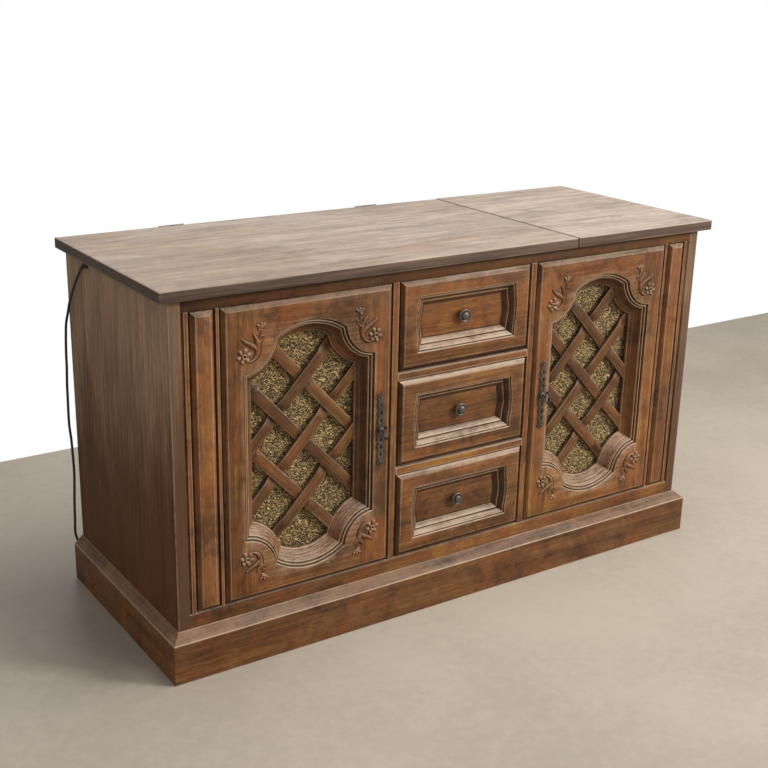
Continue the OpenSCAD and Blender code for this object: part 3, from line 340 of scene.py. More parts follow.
def side_veneer(name, tone):
    """Veneer of the side panels: dark and upright, greyer where it has faded"""
    paint = Paint(name)
    figure, streaks, pores = grain(paint, "Z", 9.1)
    x, y, z = paint.axes()
    cloudy = paint.noise(4.5, 4.0, 0.6, 0.6, stretch=(1, 1, 0.5))
    scuffs = paint.noise(6.0, 5.0, 0.75, stretch=(7, 7, 2.5), move=(0.4, 0.2, 0.9))
    faded = (z + (cloudy - 0.5) * 0.5 + (streaks - 0.5) * 0.25).between(0.28, 0.66)
    paint.base = paint.mix(faded, tint(tone, 1.06, 0.72, 0.36), tint(tone, 3.3, 3.8, 3.9))
    paint.dim((0.5 + figure.between(0.3, 0.7) * 0.5 + streaks.between(0.3, 0.7) * 0.5).most(0.3))
    paint.over(pores.between(0.55, 0.68) * streaks.between(0.4, 0.62) * 0.7, tint(tone, 0.25))
    paint.over(paint.axes("Normal")[1].between(-0.3, -0.8) * 0.6, tint(tone, 0.88))
    paint.over(scuffs.between(0.62, 0.74) * 0.45, (0.3, 0.22, 0.15))
    corner_line = y.between(*SIDE_CORNER[0]) * x.size().between(*SIDE_CORNER[1])
    paint.over(corner_line * scuffs.between(0.38, 0.52) * 0.55, RUBBED_VENEER)
    paint.finish(0.5 + streaks * 0.2, streaks * 0.6 + pores * 0.5, 0.0003,
                 Specular_IOR_Level=0.22)


def raw_board(name, tone, axis, coarse=1.0):
    """Bare board inside the cabinet"""
    paint = Paint(name)
    figure, streaks, _ = grain(paint, axis, coarse)
    chips = paint.noise(90.0)
    paint.base = paint.mix(figure.between(0.3, 0.7), tint(tone, 0.8), tint(tone, 1.18))
    paint.dim(0.8 + streaks * 0.4 * coarse)
    paint.over(chips.between(0.6, 0.75) * 0.35, tint(tone, 0.6))
    paint.finish(0.78, streaks + chips * 0.3, 0.0002)


def metal(name, tone, roughness, spots, height, scale, metallic=0.0):
    """Cast, plated or painted metal with small pits and dull spots"""
    paint = Paint(name)
    fine = paint.noise(scale, 4.0)
    paint.base = tone
    paint.over(paint.noise(scale / 6, 3.0, 0.6, 0.5).between(0.4, 0.65) * spots, tint(tone, 0.5))
    paint.over((paint.wear() * (0.5 + fine)).between(0.4, 1.0) * 0.5, tint(tone, 2.0))
    paint.finish(roughness + fine * 0.18, fine, height, Metallic=metallic)


def brushed(name, tone, roughness, centre=None):
    """Turned sheet with rings about a centre, or brushed sheet with lines along X"""
    paint = Paint(name)
    if centre:
        x, y, z = paint.axes(paint.place(move=(-centre[0], -centre[1], 0)))
        vector = paint.node("ShaderNodeCombineXYZ", None, {0: (x * x + y * y) ** 0.5, 1: z})
        lines = paint.noise(2400.0, 2.0, vector=vector.outputs[0])
    else:
        lines = paint.noise(1.0, 2.0, stretch=(20, 2200, 2200))
    paint.base = paint.mix(lines.between(0.3, 0.7), tint(tone, 0.86), tone)
    paint.finish(roughness + lines * 0.15, lines, 0.00002, Metallic=0.9)


def grille_cloth(name, tone):
    """Woven cloth of pale gold slubs with dark gaps between them"""
    paint = Paint(name)
    bend = paint.noise(50.0, 2.0, 0.5)
    shift = paint.node("ShaderNodeCombineXYZ", None, {0: bend * 1.8, 2: bend * 1.0}).outputs[0]
    place = paint.place((125, 120, 285), turn=(0, math.radians(-33), 0))
    cells = paint.node("ShaderNodeTexVoronoi", {"feature": "F1"}, {
        "Vector": paint.node("ShaderNodeVectorMath", {"operation": "ADD"},
                             {0: place, 1: shift}).outputs[0],
        "Scale": 1.6, "Randomness": 0.6}).outputs
    missing, bright, _ = paint.axes(cells["Color"])
    strands = paint.noise(1.0, 2.0, stretch=(240, 240, 1300), turn=(0, math.radians(-40), 0))
    gap = (Signal(paint, cells["Distance"]) + strands * 0.4).between(0.98, 0.64)
    gap = gap * missing.between(0.0, 0.12)
    paint.base = paint.mix(bright, tint(tone, 0.95), tint(tone, 2.3))
    paint.dim(0.25 + strands * 1.5)
    paint.over(gap * 0.96, (0.02, 0.011, 0.005))
    paint.finish(0.85, (1 - gap) * 0.8 + strands * 0.5, 0.0009)


def rubber(name, tone, roughness):
    paint = Paint(name)
    fine = paint.noise(500.0)
    paint.base = tone
    paint.over(paint.noise(40.0).between(0.5, 0.75) * 0.35, (0.12, 0.11, 0.10))
    paint.finish(roughness + fine * 0.15, fine, 0.00005)


def speckled(name, dark, light, flecks, roughness, height, span=None, relief=None):
    """Two tones mixed by a noise, which makes the relief too where no other is given"""
    paint = Paint(name)
    spread = paint.noise(*flecks)
    paint.base = paint.mix(spread.between(*span) if span else spread, dark, light)
    paint.finish(roughness, paint.noise(*relief) if relief else spread, height)


def dial_window(name):
    """Clear window over the tuning scale, with a faint haze"""
    paint = Paint(name)
    haze = paint.noise(35.0, 4.0)
    paint.base = paint.mix(haze, (0.86, 0.9, 0.92), (0.93, 0.95, 0.96))
    paint.finish(0.04 + haze * 0.05, Alpha=0.16, IOR=1.49)


def make_finishes(colours):
    """All finishes, under the names that the pieces ask for"""
    oak = tuple(colours.oak)
    # Name, tone factor, grain axis, seed, then patches, gloss, dust, painted shade on faces turned
    # left or down, and rails
    for name, factor, axis, seed, *rest in (
            ("stained_oak_X", 1.0, "X", 0.3, 1.0, 0.42, 0.8, 0.35),
            ("stained_oak_Z", 1.0, "Z", 2.2, 1.0, 0.42, 0.8, 0.35),
            ("door_oak", 1.05, "X", 4.1, 1.0, 0.4, 0.72, 0.42, (0.336, 0.1)),
            ("drawer_oak", 1.06, "X", 6.3, 0.8, 0.4, 1.15, 0.75),
            ("slat_oak_up", 0.8, "up", 3.3, 0.6, 0.42, 0.3, 0.4),
            ("slat_oak_down", 0.8, "down", 3.3, 0.6, 0.42, 0.3, 0.4),
            ("plinth_oak_X", 0.86, "X", 7.7, 0.9, 0.38, 0.3),
            ("plinth_oak_Y", 0.86, "Y", 8.8, 0.9, 0.38, 0.3)):
        stained_wood(name, tint(oak, factor), axis, seed, *rest)
    faded_wood("weathered_top", tuple(colours.top), (0.105, 0.062, 0.04), 0.4)
    faded_wood("weathered_top_right", tint(colours.top, 1.04), (0.12, 0.07, 0.045), 5.2)
    side_veneer("side_veneer", tuple(colours.side))
    raw_board("inside_board", (0.46, 0.33, 0.2), "X")
    raw_board("inside_upright", (0.44, 0.31, 0.19), "Z")
    raw_board("drawer_side", (0.52, 0.4, 0.26), "Y", 0.8)
    for name, tone, *rest in (      # roughness, spots, height and scale of pits, metallic
            ("dark_iron", (0.12, 0.105, 0.09), 0.34, 0.85, 0.0003, 300.0, 0.75),
            ("pewter", (0.13, 0.11, 0.095), 0.34, 0.6, 0.00005, 420.0, 0.85),
            ("sheet_metal", (0.34, 0.33, 0.31), 0.36, 0.2, 0.00002, 400.0, 0.8),
            ("screw_steel", (0.3, 0.28, 0.25), 0.38, 0.4, 0.00004, 500.0, 0.85),
            ("hinge_steel", (0.2, 0.17, 0.13), 0.4, 0.5, 0.00005, 400.0, 0.8),
            ("cream_enamel", (0.62, 0.57, 0.47), 0.3, 0.08, 0.00002, 300.0),
            ("silver_plastic", (0.5, 0.49, 0.46), 0.3, 0.1, 0.00001, 600.0),
            ("pointer_red", (0.62, 0.07, 0.03), 0.3, 0.05, 0.00001, 600.0)):
        metal(name, tone, *rest)
    brushed("bright_metal", (0.72, 0.71, 0.69), 0.2)
    brushed("turned_metal", (0.66, 0.65, 0.63), 0.26, PLATTER)
    grille_cloth("grille_cloth", tuple(colours.cloth))
    rubber("mat_rubber", (0.022, 0.021, 0.02), 0.55)
    rubber("cord_rubber", (0.028, 0.025, 0.023), 0.5)
    rubber("black_plate", (0.02, 0.02, 0.021), 0.34)
    speckled("cone_paper", (0.018, 0.017, 0.016), (0.05, 0.048, 0.045), (320.0, 4.0, 0.7), 0.85,
             0.0002, (0.35, 0.7))
    speckled("hardboard", (0.16, 0.095, 0.052), (0.24, 0.155, 0.09), (130.0,), 0.72, 0.00015,
             (0.35, 0.7), (700.0, 3.0, 0.7))
    speckled("scale_ink", (0.62, 0.56, 0.42), (0.74, 0.68, 0.52), (300.0, 2.0, 0.5), 0.5, 0.00001)
    dial_window("dial_window")


FINISHES = {
    "side_veneer": "side_left side_right",
    "inside_board": "bottom_board corner_blocks rear_rails baffles deck_board",
    "inside_upright": "partitions",
    "drawer_side": "drawer_box_top drawer_box_middle drawer_box_bottom drawer_runners",
    "hardboard": "back_panel",
    "dark_iron": "door_pins",
    "screw_steel": "back_screws",
    "hinge_steel": "fixed_hinge_leaves lid_hinge_leaves",
    "sheet_metal": "tuner_case",
    "mat_rubber": "cable_grommet"}


def dress_nodes():
    """Finishes of the flat boards and fittings that keep the frame's own shape"""
    for material, nodes in FINISHES.items():
        for node in nodes.split():
            mesh = bpy.data.objects[node].data
            mesh.materials.clear()
            mesh.materials.append(Paint.made[material])


# ---------------------------------------------------------------- mesh helpers


def corners(node):
    """Lowest and highest corner of a node"""
    low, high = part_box(node)
    return Vector(low), Vector(high)


def centre_of(node):
    return [(a + b) / 2 for a, b in zip(*corners(node))]


def linked(name, data):
    """A new object in the scene"""
    thing = bpy.data.objects.new(name, data)
    bpy.context.scene.collection.objects.link(thing)
    return thing


def new_mesh():
    bm = bmesh.new()
    bm.verts.layers.float.new("wear")
    return bm


def set_wear_and_shade(bm, verts, values):
    """One wear and shade value for all the vertices, or a row of them"""
    layer = bm.verts.layers.float["wear"]
    values = values if isinstance(values, (list, tuple)) else [values] * len(verts)
    for vert, value in zip(verts, values):
        vert[layer] = value


def loop(bm, points, wear=0.0):
    """A closed row of vertices joined by edges"""
    verts = [bm.verts.new(p) for p in points]
    set_wear_and_shade(bm, verts, wear)
    return [bm.edges.new(pair) for pair in zip(verts, verts[1:] + verts[:1])]


def bridge(bm, rows):
    """Faces between each row of edges and the next"""
    for first, second in zip(rows, rows[1:]):
        bmesh.ops.bridge_loops(bm, edges=first + second)


def fill(bm, *loops):
    """Flat faces between an outer loop and the loops inside it"""
    edges = [edge for row in loops for edge in row]
    bmesh.ops.triangle_fill(bm, use_beauty=True, use_dissolve=False, edges=edges)


def sweep(bm, sections):
    """A closed skin over a row of closed sections, each a list of points and their wear and shade
    """
    rows = [loop(bm, [point for point, _ in section], [wear for _, wear in section])
            for section in sections]
    bridge(bm, rows)
    fill(bm, rows[0])
    fill(bm, rows[-1])


def plate(bm, outline, holes, thickness):
    """A flat plate with holes, given depth along a vector"""
    rows = [loop(bm, points) for points in [outline] + list(holes)]
    before = set(bm.faces)
    fill(bm, *rows)
    faces = [face for face in bm.faces if face not in before]
    made = bmesh.ops.extrude_face_region(bm, geom=faces)["geom"]
    bmesh.ops.translate(bm, vec=thickness,
                        verts=[item for item in made if isinstance(item, bmesh.types.BMVert)])


def publish(bm, name, body, materials, replaced=None, smooth=35.0, bevel=None):
    """Turns the bmesh into a piece that rides on a body

    Each name in materials fills a slot, and the frame's node named by replaced is hidden.
    bevel is a width and a number of segments.
    """
    bmesh.ops.recalc_face_normals(bm, faces=bm.faces)
    mesh = bpy.data.meshes.new(name)
    bm.to_mesh(mesh)
    bm.free()
    piece = linked(name, mesh)
    for material in materials.split():
        mesh.materials.append(Paint.made[material])
    if smooth:
        mesh.shade_smooth()
        mesh.set_sharp_from_angle(angle=math.radians(smooth))
    else:
        mesh.shade_flat()
    if bevel:
        edge = piece.modifiers.new("edge", "BEVEL")
        edge.width, edge.segments = bevel
        edge.limit_method, edge.angle_limit = "ANGLE", math.radians(40)
    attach(piece, body)
    if replaced:
        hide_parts(replaced)
    return piece


def box(bm, low, high, bevel=0.0, wear=0.6, segments=2):
    """A block between two corners, with rounded edges that show wear; a value below 0 darkens it
    with painted shade
    """
    made = bmesh.ops.create_cube(bm, size=1.0)["verts"]
    size = Vector(high) - Vector(low)
    bmesh.ops.scale(bm, vec=size, verts=made)
    bmesh.ops.translate(bm, vec=(Vector(high) + Vector(low)) / 2, verts=made)
    if not bevel:
        return made
    edges = list({edge for vert in made for edge in vert.link_edges})
    made = bmesh.ops.bevel(bm, geom=edges, offset=bevel, offset_type="OFFSET",
                           segments=segments, profile=0.5, affect="EDGES", material=-1)["verts"]
    set_wear_and_shade(bm, made, wear)
    rim = min(0.004, min(size) / 5)
    broad = [face for face in {face for vert in made for face in vert.link_faces}
             if min(edge.calc_length() for edge in face.edges) > 2.5 * rim]
    if wear > 0 and broad:
        bmesh.ops.inset_individual(bm, faces=broad, thickness=rim, use_even_offset=True)
        set_wear_and_shade(bm, list({vert for face in broad for vert in face.verts}), 0.0)
    return made


def mm_box(bm, low, high, bevel=1.0, wear=0.6):
    """A block from corners in mm"""
    box(bm, Vector(low) * MM, Vector(high) * MM, bevel * MM, wear)


def turned(bm, profile, centre, steps, axis="Y", closed=False):
    """A turned shape from points of radius, height in mm, and wear and shade where it isn't 0

    Along Z the height runs up, along Y to the front and along X to the right.
    """
    before = set(bm.verts)
    verts = [bm.verts.new((r * MM, 0.0, height * MM)) for r, height, *_ in profile]
    set_wear_and_shade(bm, verts, [point[2] if len(point) > 2 else 0.0 for point in profile])
    edges = [bm.edges.new(pair) for pair in
             zip(verts, verts[1:] + (verts[:1] if closed else []))]
    bmesh.ops.spin(bm, geom=verts + edges, cent=(0, 0, 0), axis=(0, 0, 1), angle=math.tau,
                   steps=steps, use_merge=True, use_duplicate=False)
    bmesh.ops.remove_doubles(bm, verts=[v for v in bm.verts if v not in before], dist=1e-6)
    made = [v for v in bm.verts if v not in before]
    turn = {"Z": Matrix(), "Y": Matrix.Rotation(math.radians(90), 4, "X"),
            "X": Matrix.Rotation(math.radians(90), 4, "Y")}[axis]
    bmesh.ops.transform(bm, matrix=Matrix.Translation(centre) @ turn, verts=made)
    return made


def bar(radius, end, first, last):
    """Profile of a round bar with slightly rounded ends"""
    return ((0, first), (radius - end, first, 0.4), (radius, first + end, 0.8),
            (radius, last - end, 0.8), (radius - end, last, 0.4), (0, last))


def arc(centre, radius, first, last, steps):
    return [Vector((centre[0] + radius * math.cos(a), centre[1] + radius * math.sin(a)))
            for a in (first + (last - first) * i / steps for i in range(steps + 1))]


def ring(radius, count, centre=(0, 0)):
    return arc(centre, radius, 0, math.tau, count)[:-1]


def ring_profile(radius, thick):
    """Closed profile of a round ring"""
    return [tuple(point) for point in ring(thick, 10, (radius, 0))]


def rectangle(half_w, half_h):
    return [Vector((x * half_w, y * half_h)) for x, y in ((-1, -1), (1, -1), (1, 1), (-1, 1))]


def at_depth(points, y, x0=0.0, z0=0.0):
    """Plane points (x, z) as points in space"""
    return [(x0 + p[0], y, z0 + p[1]) for p in points]


def at_height(points, z, x0=0.0, y0=0.0):
    """Flat points (x, y) as points in space"""
    return [(x0 + p[0], y0 + p[1], z) for p in points]


def rounded_section(centre, across, up, half_w, half_h, radius, steps=3):
    """Points of a rounded rectangle round a centre, from sizes in mm"""
    points = []
    for k, (sx, sy) in enumerate(((1, 1), (-1, 1), (-1, -1), (1, -1))):
        middle = (sx * (half_w - radius) * MM, sy * (half_h - radius) * MM)
        points += arc(middle, radius * MM, math.pi / 2 * k, math.pi / 2 * (k + 1), steps)
    return [centre + across * p.x + up * p.y for p in points]


def rounded_route(points, parts=4):
    """A smooth curve through the points, sampled between them"""
    p = [Vector(point) for point in points]
    out = []
    for i in range(len(p) - 1):
        a, b, c, d = p[max(i - 1, 0)], p[i], p[i + 1], p[min(i + 2, len(p) - 1)]
        for t in (k / parts for k in range(parts)):
            out.append(0.5 * (2 * b + (c - a) * t + (2 * a - 5 * b + 4 * c - d) * t ** 2
                              + (3 * b - a - 3 * c + d) * t ** 3))
    return out + [p[-1]]


def eased(value, low, high):
    t = min(1.0, max(0.0, (value - low) / (high - low)))
    return t * t * (3 - 2 * t)


# ---------------------------------------------------------------- camera and stage

CAMERA_PLACE = (-1.3742, -1.9842, 1.1897)
CAMERA_ANGLES = (34.009, 18.605, 1.2296)    # azimuth, downward tilt and roll in degrees
LENS, SENSOR = 58.54, 36.0
# Name, place, target, size, power and colour of each lamp
LAMPS = (
    ("lamp_top", (0.6, -0.7, 3.4), (0, 0, 0.4), 2.0, 76, (1, 0.985, 0.96)),
    ("lamp_right", (2.7, -2.9, 2.2), (0.1, 0, 0.35), 0.9, 112, (1, 0.98, 0.95)),
    ("lamp_left", (-2.6, -2.6, 1.9), (0, 0, 0.35), 2.2, 17, (1, 0.99, 0.97)),
    ("lamp_back", (0.9, 3.4, 0.8), (0, 0, 0.35), 1.4, 22, (1, 0.99, 0.97)))
FLOOR_X, FLOOR_FRONT, WALL_Y = 7, -6, 0.92      # the floor ends at the white backdrop
GLOSSY_SHARE = 0.2              # how much of the white surrounding shows in reflections
FILL_LIGHT = 0.19               # how much of it lights the object


def make_camera():
    """Camera of the photograph: its place, turn, tilt and slight roll"""
    azimuth, elevation, roll = (math.radians(a) for a in CAMERA_ANGLES)
    forward = Vector((math.sin(azimuth) * math.cos(elevation),
                      math.cos(azimuth) * math.cos(elevation), -math.sin(elevation)))
    right = Vector((math.cos(azimuth), -math.sin(azimuth), 0))
    up = right.cross(forward)
    turned_right = right * math.cos(roll) + up * math.sin(roll)
    turned_up = up * math.cos(roll) - right * math.sin(roll)
    data = bpy.data.cameras.new("camera")
    data.lens, data.sensor_width, data.sensor_fit = LENS, SENSOR, "HORIZONTAL"
    camera = linked("camera", data)
    rows = Matrix((turned_right, turned_up, -forward)).transposed().to_4x4()
    camera.matrix_world = Matrix.Translation(CAMERA_PLACE) @ rows
    bpy.context.scene.camera = camera


def make_stage():
    """Pale floor that ends at a white wall, soft lamps and a white surrounding"""
    bm = new_mesh()
    fill(bm, loop(bm, ((-FLOOR_X, FLOOR_FRONT, 0), (FLOOR_X, FLOOR_FRONT, 0),
                       (FLOOR_X, WALL_Y, 0), (-FLOOR_X, WALL_Y, 0))))
    mesh = bpy.data.meshes.new("floor")
    bm.to_mesh(mesh)
    bm.free()
    floor = linked("floor", mesh)
    paint = Paint("pale_floor")
    fine = paint.noise(40.0, 4.0, 0.7)
    paint.base = paint.mix((paint.noise(1.3, 4.0) * 0.7 + fine * 0.3).between(0.38, 0.62),
                           (0.43, 0.375, 0.3), (0.52, 0.455, 0.37))
    paint.finish(0.62, fine, 0.0003)
    mesh.materials.append(paint.material)

    for name, place, target, size, power, tone in LAMPS:
        data = bpy.data.lights.new(name, "AREA")
        data.size, data.energy, data.color = size, power, tone
        lamp = linked(name, data)
        lamp.location = place
        aim = Vector(target) - Vector(place)
        lamp.rotation_euler = aim.to_track_quat("-Z", "Y").to_euler()

    world = bpy.data.worlds.new("surrounding")
    nodes = Nodes(world)
    rays = nodes.node("ShaderNodeLightPath").outputs
    seen, clear, glossy = (Signal(nodes, rays["Is %s Ray" % kind])
                           for kind in ("Camera", "Transmission", "Glossy"))
    level = nodes.node("ShaderNodeMapRange", None, {
        "Value": seen.most(clear) + glossy * GLOSSY_SHARE, "To Min": FILL_LIGHT, "To Max": 1.0})
    shade = nodes.node("ShaderNodeBackground", None, {
        "Color": (1, 1, 1), "Strength": level.outputs[0]})
    nodes.node("ShaderNodeOutputWorld", None, {"Surface": shade.outputs[0]})
    bpy.context.scene.world = world
    bpy.context.scene.view_settings.view_transform = "Standard"


# ---------------------------------------------------------------- mains lead

# The lead down to the floor, its end after the coil, and the coil's middle and radii, in mm
HANG = (
    (-597, 127, 672), (-599, 131, 669), (-601.5, 138, 662.5), (-603.5, 146, 653.5),
    (-605, 159, 638), (-606, 175, 619), (-606, 190, 600.5), (-605.5, 206, 581),
    (-604.5, 219, 562), (-604, 231, 543), (-603.5, 239, 529), (-603, 244, 513),
    (-603.5, 246, 493), (-604.5, 246, 469), (-605, 246, 441), (-606.5, 246, 409),
    (-607, 246, 376), (-607.5, 246, 328), (-605, 246, 293), (-604, 246, 259),
    (-603.5, 246, 225), (-605, 246, 191), (-607, 246, 157), (-608, 246, 122),
    (-609, 246, 105), (-608, 247, 91), (-604, 249, 77), (-597, 252, 60), (-588, 256, 42),
    (-577, 260, 26), (-564, 263, 12), (-550, 265.5, 4.6), (-535, 267, 2.6),
    (-518, 267.5, 2.6), (-502, 267.5, 2.6))
TAIL = (
    (-502, 267.5, 7.6), (-487, 267.5, 7.3), (-471, 267, 6.5), (-455, 266.5, 6.8),
    (-440, 266, 8))
COIL_CENTRE = (-502.0, 302.5)
COIL_RADII = (35.0, 30.0, 25.0)
LAYER_1, LAYER_2 = 2.6, 7.6
# Strain relief: its length, radius at the cabinet, taper, and depth of its grooves
RELIEF_LENGTH, RELIEF_RADIUS, RELIEF_TAPER, RELIEF_GROOVE = 0.026, 0.0043, 0.0014, 0.0003
# Sections of the plug: place along it, half width, half height and corner radius, in mm
PLUG = (
    (-14, 3.0, 3.0, 2.6), (-9, 3.4, 3.4, 3.0), (-8.5, 3.0, 3.0, 2.7), (-5, 3.8, 3.8, 3.4),
    (-4.5, 3.3, 3.3, 3.0), (0, 5, 5, 4), (1, 8.5, 6.5, 4), (5, 11.5, 7.6, 4),
    (9, 11.2, 7.0, 3.5), (12, 10.4, 6.2, 3.5), (15, 10.2, 6.0, 3.5), (20, 10.6, 6.4, 3.5),
    (24, 12.4, 7.6, 3), (28, 13, 8, 2.5), (33, 13, 8, 2.5), (34, 12.2, 7.2, 2.2))
BLADE_START, BLADE_SPREAD, BLADE_THICK = 0.034, 0.0065, 0.0015
BLADE = ((0, -3), (14.5, -3), (17, -1.8), (17, 1.8), (14.5, 3), (0, 3))


def coil_points(steps=40):
    """Five turns of the spare lead: inwards on the floor, then outwards on top"""
    outer, middle, inner = COIL_RADII
    points = []
    for i in range(1, 5 * steps):
        turn, part = divmod(i / steps, 1.0)
        late, early = eased(part, 0.83, 1.0), eased(part, 0.5, 0.67)
        radius, height = (
            (outer + (middle - outer) * late, LAYER_1),
            (middle + (inner - middle) * late, LAYER_1),
            (inner, LAYER_1 + (LAYER_2 - LAYER_1) * eased(part, 0.67, 0.83)),
            (inner + (middle - inner) * early, LAYER_2),
            (middle + (outer - middle) * early, LAYER_2))[int(turn)]
        angle = math.tau * part - math.pi / 2
        points.append(Vector((COIL_CENTRE[0] + radius * math.cos(angle),
                              COIL_CENTRE[1] + radius * math.sin(angle), height)))
    return points


def make_cord(sizes):
    """The mains lead, its strain relief at the cabinet and its plug"""
    route = [point * MM for point in rounded_route(HANG) + coil_points() + rounded_route(TAIL)]
    curve = bpy.data.curves.new("lead", "CURVE")
    curve.dimensions, curve.use_fill_caps = "3D", True
    curve.bevel_depth, curve.bevel_resolution = sizes.cord_diameter / 2, 3
    spline = curve.splines.new("POLY")
    spline.points.add(len(route) - 1)
    for point, place in zip(spline.points, route):
        point.co = (*place, 1.0)
    curve.materials.append(Paint.made["cord_rubber"])
    lead = linked("lead", curve)
    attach(lead, "cabinet")
    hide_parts("mains_cord", "cord_coil")

    bm = new_mesh()
    sections, travelled, i = [], 0.0, 0
    while travelled <= RELIEF_LENGTH:
        tangent = (route[i + 1] - route[max(i - 1, 0)]).normalized()
        across = tangent.cross(Vector((0, 0, 1))).normalized()
        up = across.cross(tangent)
        radius = (RELIEF_RADIUS - RELIEF_TAPER * travelled / RELIEF_LENGTH
                  - (RELIEF_GROOVE if i % 2 else 0))
        sections.append([(route[i] + across * p.x + up * p.y, 0) for p in ring(radius, 12)])
        travelled += (route[i + 1] - route[i]).length
        i += 1
    sweep(bm, sections)
    relief = publish(bm, "lead_relief", "cabinet", "cord_rubber")

    bm = new_mesh()
    start = route[-1]
    sweep(bm, [[(point, 0) for point in rounded_section(
        start + Vector((x * MM, 0, 0)), Vector((0, 1, 0)), Vector((0, 0, 1)), *section)]
        for x, *section in PLUG])
    plug = publish(bm, "lead_plug", "cabinet", "cord_rubber", "plug", bevel=(0.0004, 2))

    bm = new_mesh()
    for side in (-1, 1):
        place = (start.z - BLADE_THICK / 2, start.x + BLADE_START, start.y + side * BLADE_SPREAD)
        plate(bm, at_height([Vector(p) * MM for p in BLADE], *place),
              [at_height(ring(0.0011, 12, (0.0125, 0)), *place)], (0, 0, BLADE_THICK))
    blades = publish(bm, "plug_blades", "cabinet", "bright_metal", bevel=(0.0002, 1))
    tuple(route[0])
    sum((b - a).length for a, b in zip(route, route[1:]))


# ---------------------------------------------------------------- doors

# The opening, in mm: half width, crown, foot, radius of the lobes, their drop, arch's radius
HALF_W, CROWN, FOOT, LOBE, DROP, ARCH = (v * MM for v in (132, 229, 237, 60, 19, 122))
# Section of the door's moulding: (inset, depth, wear and shade), in mm over its full width of 29.
# Rows below 0 darken the grooves as dirt and painted shade
DOOR_SECTION = (
    (0, 0, 0.6), (0.7, 0.3, 1.0), (1.4, 1.6, 0.4), (1.8, 4.6, -1.0), (2.9, 5.3, -1.0),
    (3.5, 4.6, 0.1), (4.4, 3.8, 1.0), (5.9, 3.9, 0.9), (6.9, 5.0, 0.2), (7.3, 7.2, -1.0),
    (8.3, 7.7, -0.8), (8.9, 7.2, 0.5), (10.1, 7.1, 1.0), (11.6, 8.2, 0.5), (12.3, 9.2, -0.7),
    (13.0, 10.4, 0.5), (14.0, 12.5, -0.1), (15.0, 14.5, -0.6), (15.8, 15.9, 0.45),
    (17.2, 17.9, 0.1), (18.6, 19.6, -0.3), (19.0, 20.3, -1.0), (19.6, 20.5, 0.7),
    (21.0, 21.8, 0.0), (22.2, 22.8, -0.5), (23.2, 23.5, 0.5), (24.8, 24.6, -0.3),
    (25.3, 25.4, -1.0), (25.9, 25.5, 0.6), (27.4, 26.6, 0.8), (28.4, 28.2, 0.0),
    (29, 32, -1.0))
# Section of a front's outer edge: (inset, depth, wear and shade), in mm; its back row darkens a
# little as painted shade in the gap round the front
EDGE_SECTION = ((0, 7.2, -0.3), (0.6, 6.2, 0.7), (2.6, 3.6, 0.2), (5.6, 1.5, 0.2),
                (7.6, 0.5, 0.9), (9.0, 0, 0.2))
DOOR_BACK, CLOTH_SEAT = FACE + 0.022, FACE + 0.032
REBATE, REBATE_FOOT, EASE = 16, -6, 0.0003      # insets of the seat's walls, and a small gap
LATTICE_INSET, CLOTH_INSET, CLOTH_THICK = 0.0255, 0.0165, 0.0012


def corner(up, inset):
    """A round lobe and half an arch, from the upright edge to the middle line"""
    lobe = Vector((HALF_W + MM, CROWN - DROP if up else DROP - FOOT))
    arch = Vector((0.0, CROWN - ARCH if up else ARCH - FOOT))
    arch_r, lobe_r = ARCH - inset, LOBE + inset
    reach = (lobe - arch).length
    unit = (lobe - arch) / reach
    along = (arch_r ** 2 - lobe_r ** 2 + reach ** 2) / (2 * reach)
    side = math.sqrt(max(0.0, arch_r ** 2 - along ** 2)) * (1 if up else -1)
    cusp = arch + unit * along + Vector((-unit.y, unit.x)) * side
    x = HALF_W - inset
    drop = math.sqrt(lobe_r ** 2 - (lobe.x - x) ** 2)
    foot = Vector((x, lobe.y + (-drop if up else drop)))
    angles = [math.atan2(*reversed(p - c)) for p, c in ((foot, lobe), (cusp, lobe), (cusp, arch))]
    first, last = (a % math.tau for a in angles[:2])
    return (arc(lobe, lobe_r, first, last, 18)
            + arc(arch, arch_r, angles[2], math.pi / 2 if up else -math.pi / 2, 18)[1:])


def opening_outline(inset):
    half = list(reversed(corner(False, inset))) + corner(True, inset)
    return half + [Vector((-p.x, p.y)) for p in reversed(half[1:-1])]


def face_rim(bm, x0, z0, half_w, half_h, face, back):
    """The outer edge of a front, from its back to its face"""
    rows = [loop(bm, at_depth(rectangle(half_w, half_h), back, x0, z0))]
    for inset, depth, wear in EDGE_SECTION:
        shape = rectangle(half_w - inset * MM, half_h - inset * MM)
        rows.append(loop(bm, at_depth(shape, face + depth * MM, x0, z0), wear))
    bridge(bm, rows)
    return rows


def moulded_front(bm, node, back, outline, section, scale, more):
    """A front with a moulding round its opening: its back edge and the moulding's last row

    more gives further rows behind the moulding: inset in mm, place along Y and wear and shade.
    """
    low, high = corners(node)
    x0, face, z0 = (low.x + high.x) / 2, low.y, (low.z + high.z) / 2
    rim = face_rim(bm, x0, z0, (high.x - low.x) / 2, (high.z - low.z) / 2, face, back)
    rows = [loop(bm, at_depth(outline(inset * scale * MM), face + depth * MM, x0, z0), wear)
            for inset, depth, wear in section]
    bridge(bm, rows)
    fill(bm, rim[-1], rows[0])
    rows = rows[-1:] + [loop(bm, at_depth(outline(inset * MM), y, x0, z0), wear)
                        for inset, y, wear in more]
    bridge(bm, rows)
    return rim[0], rows[-1]


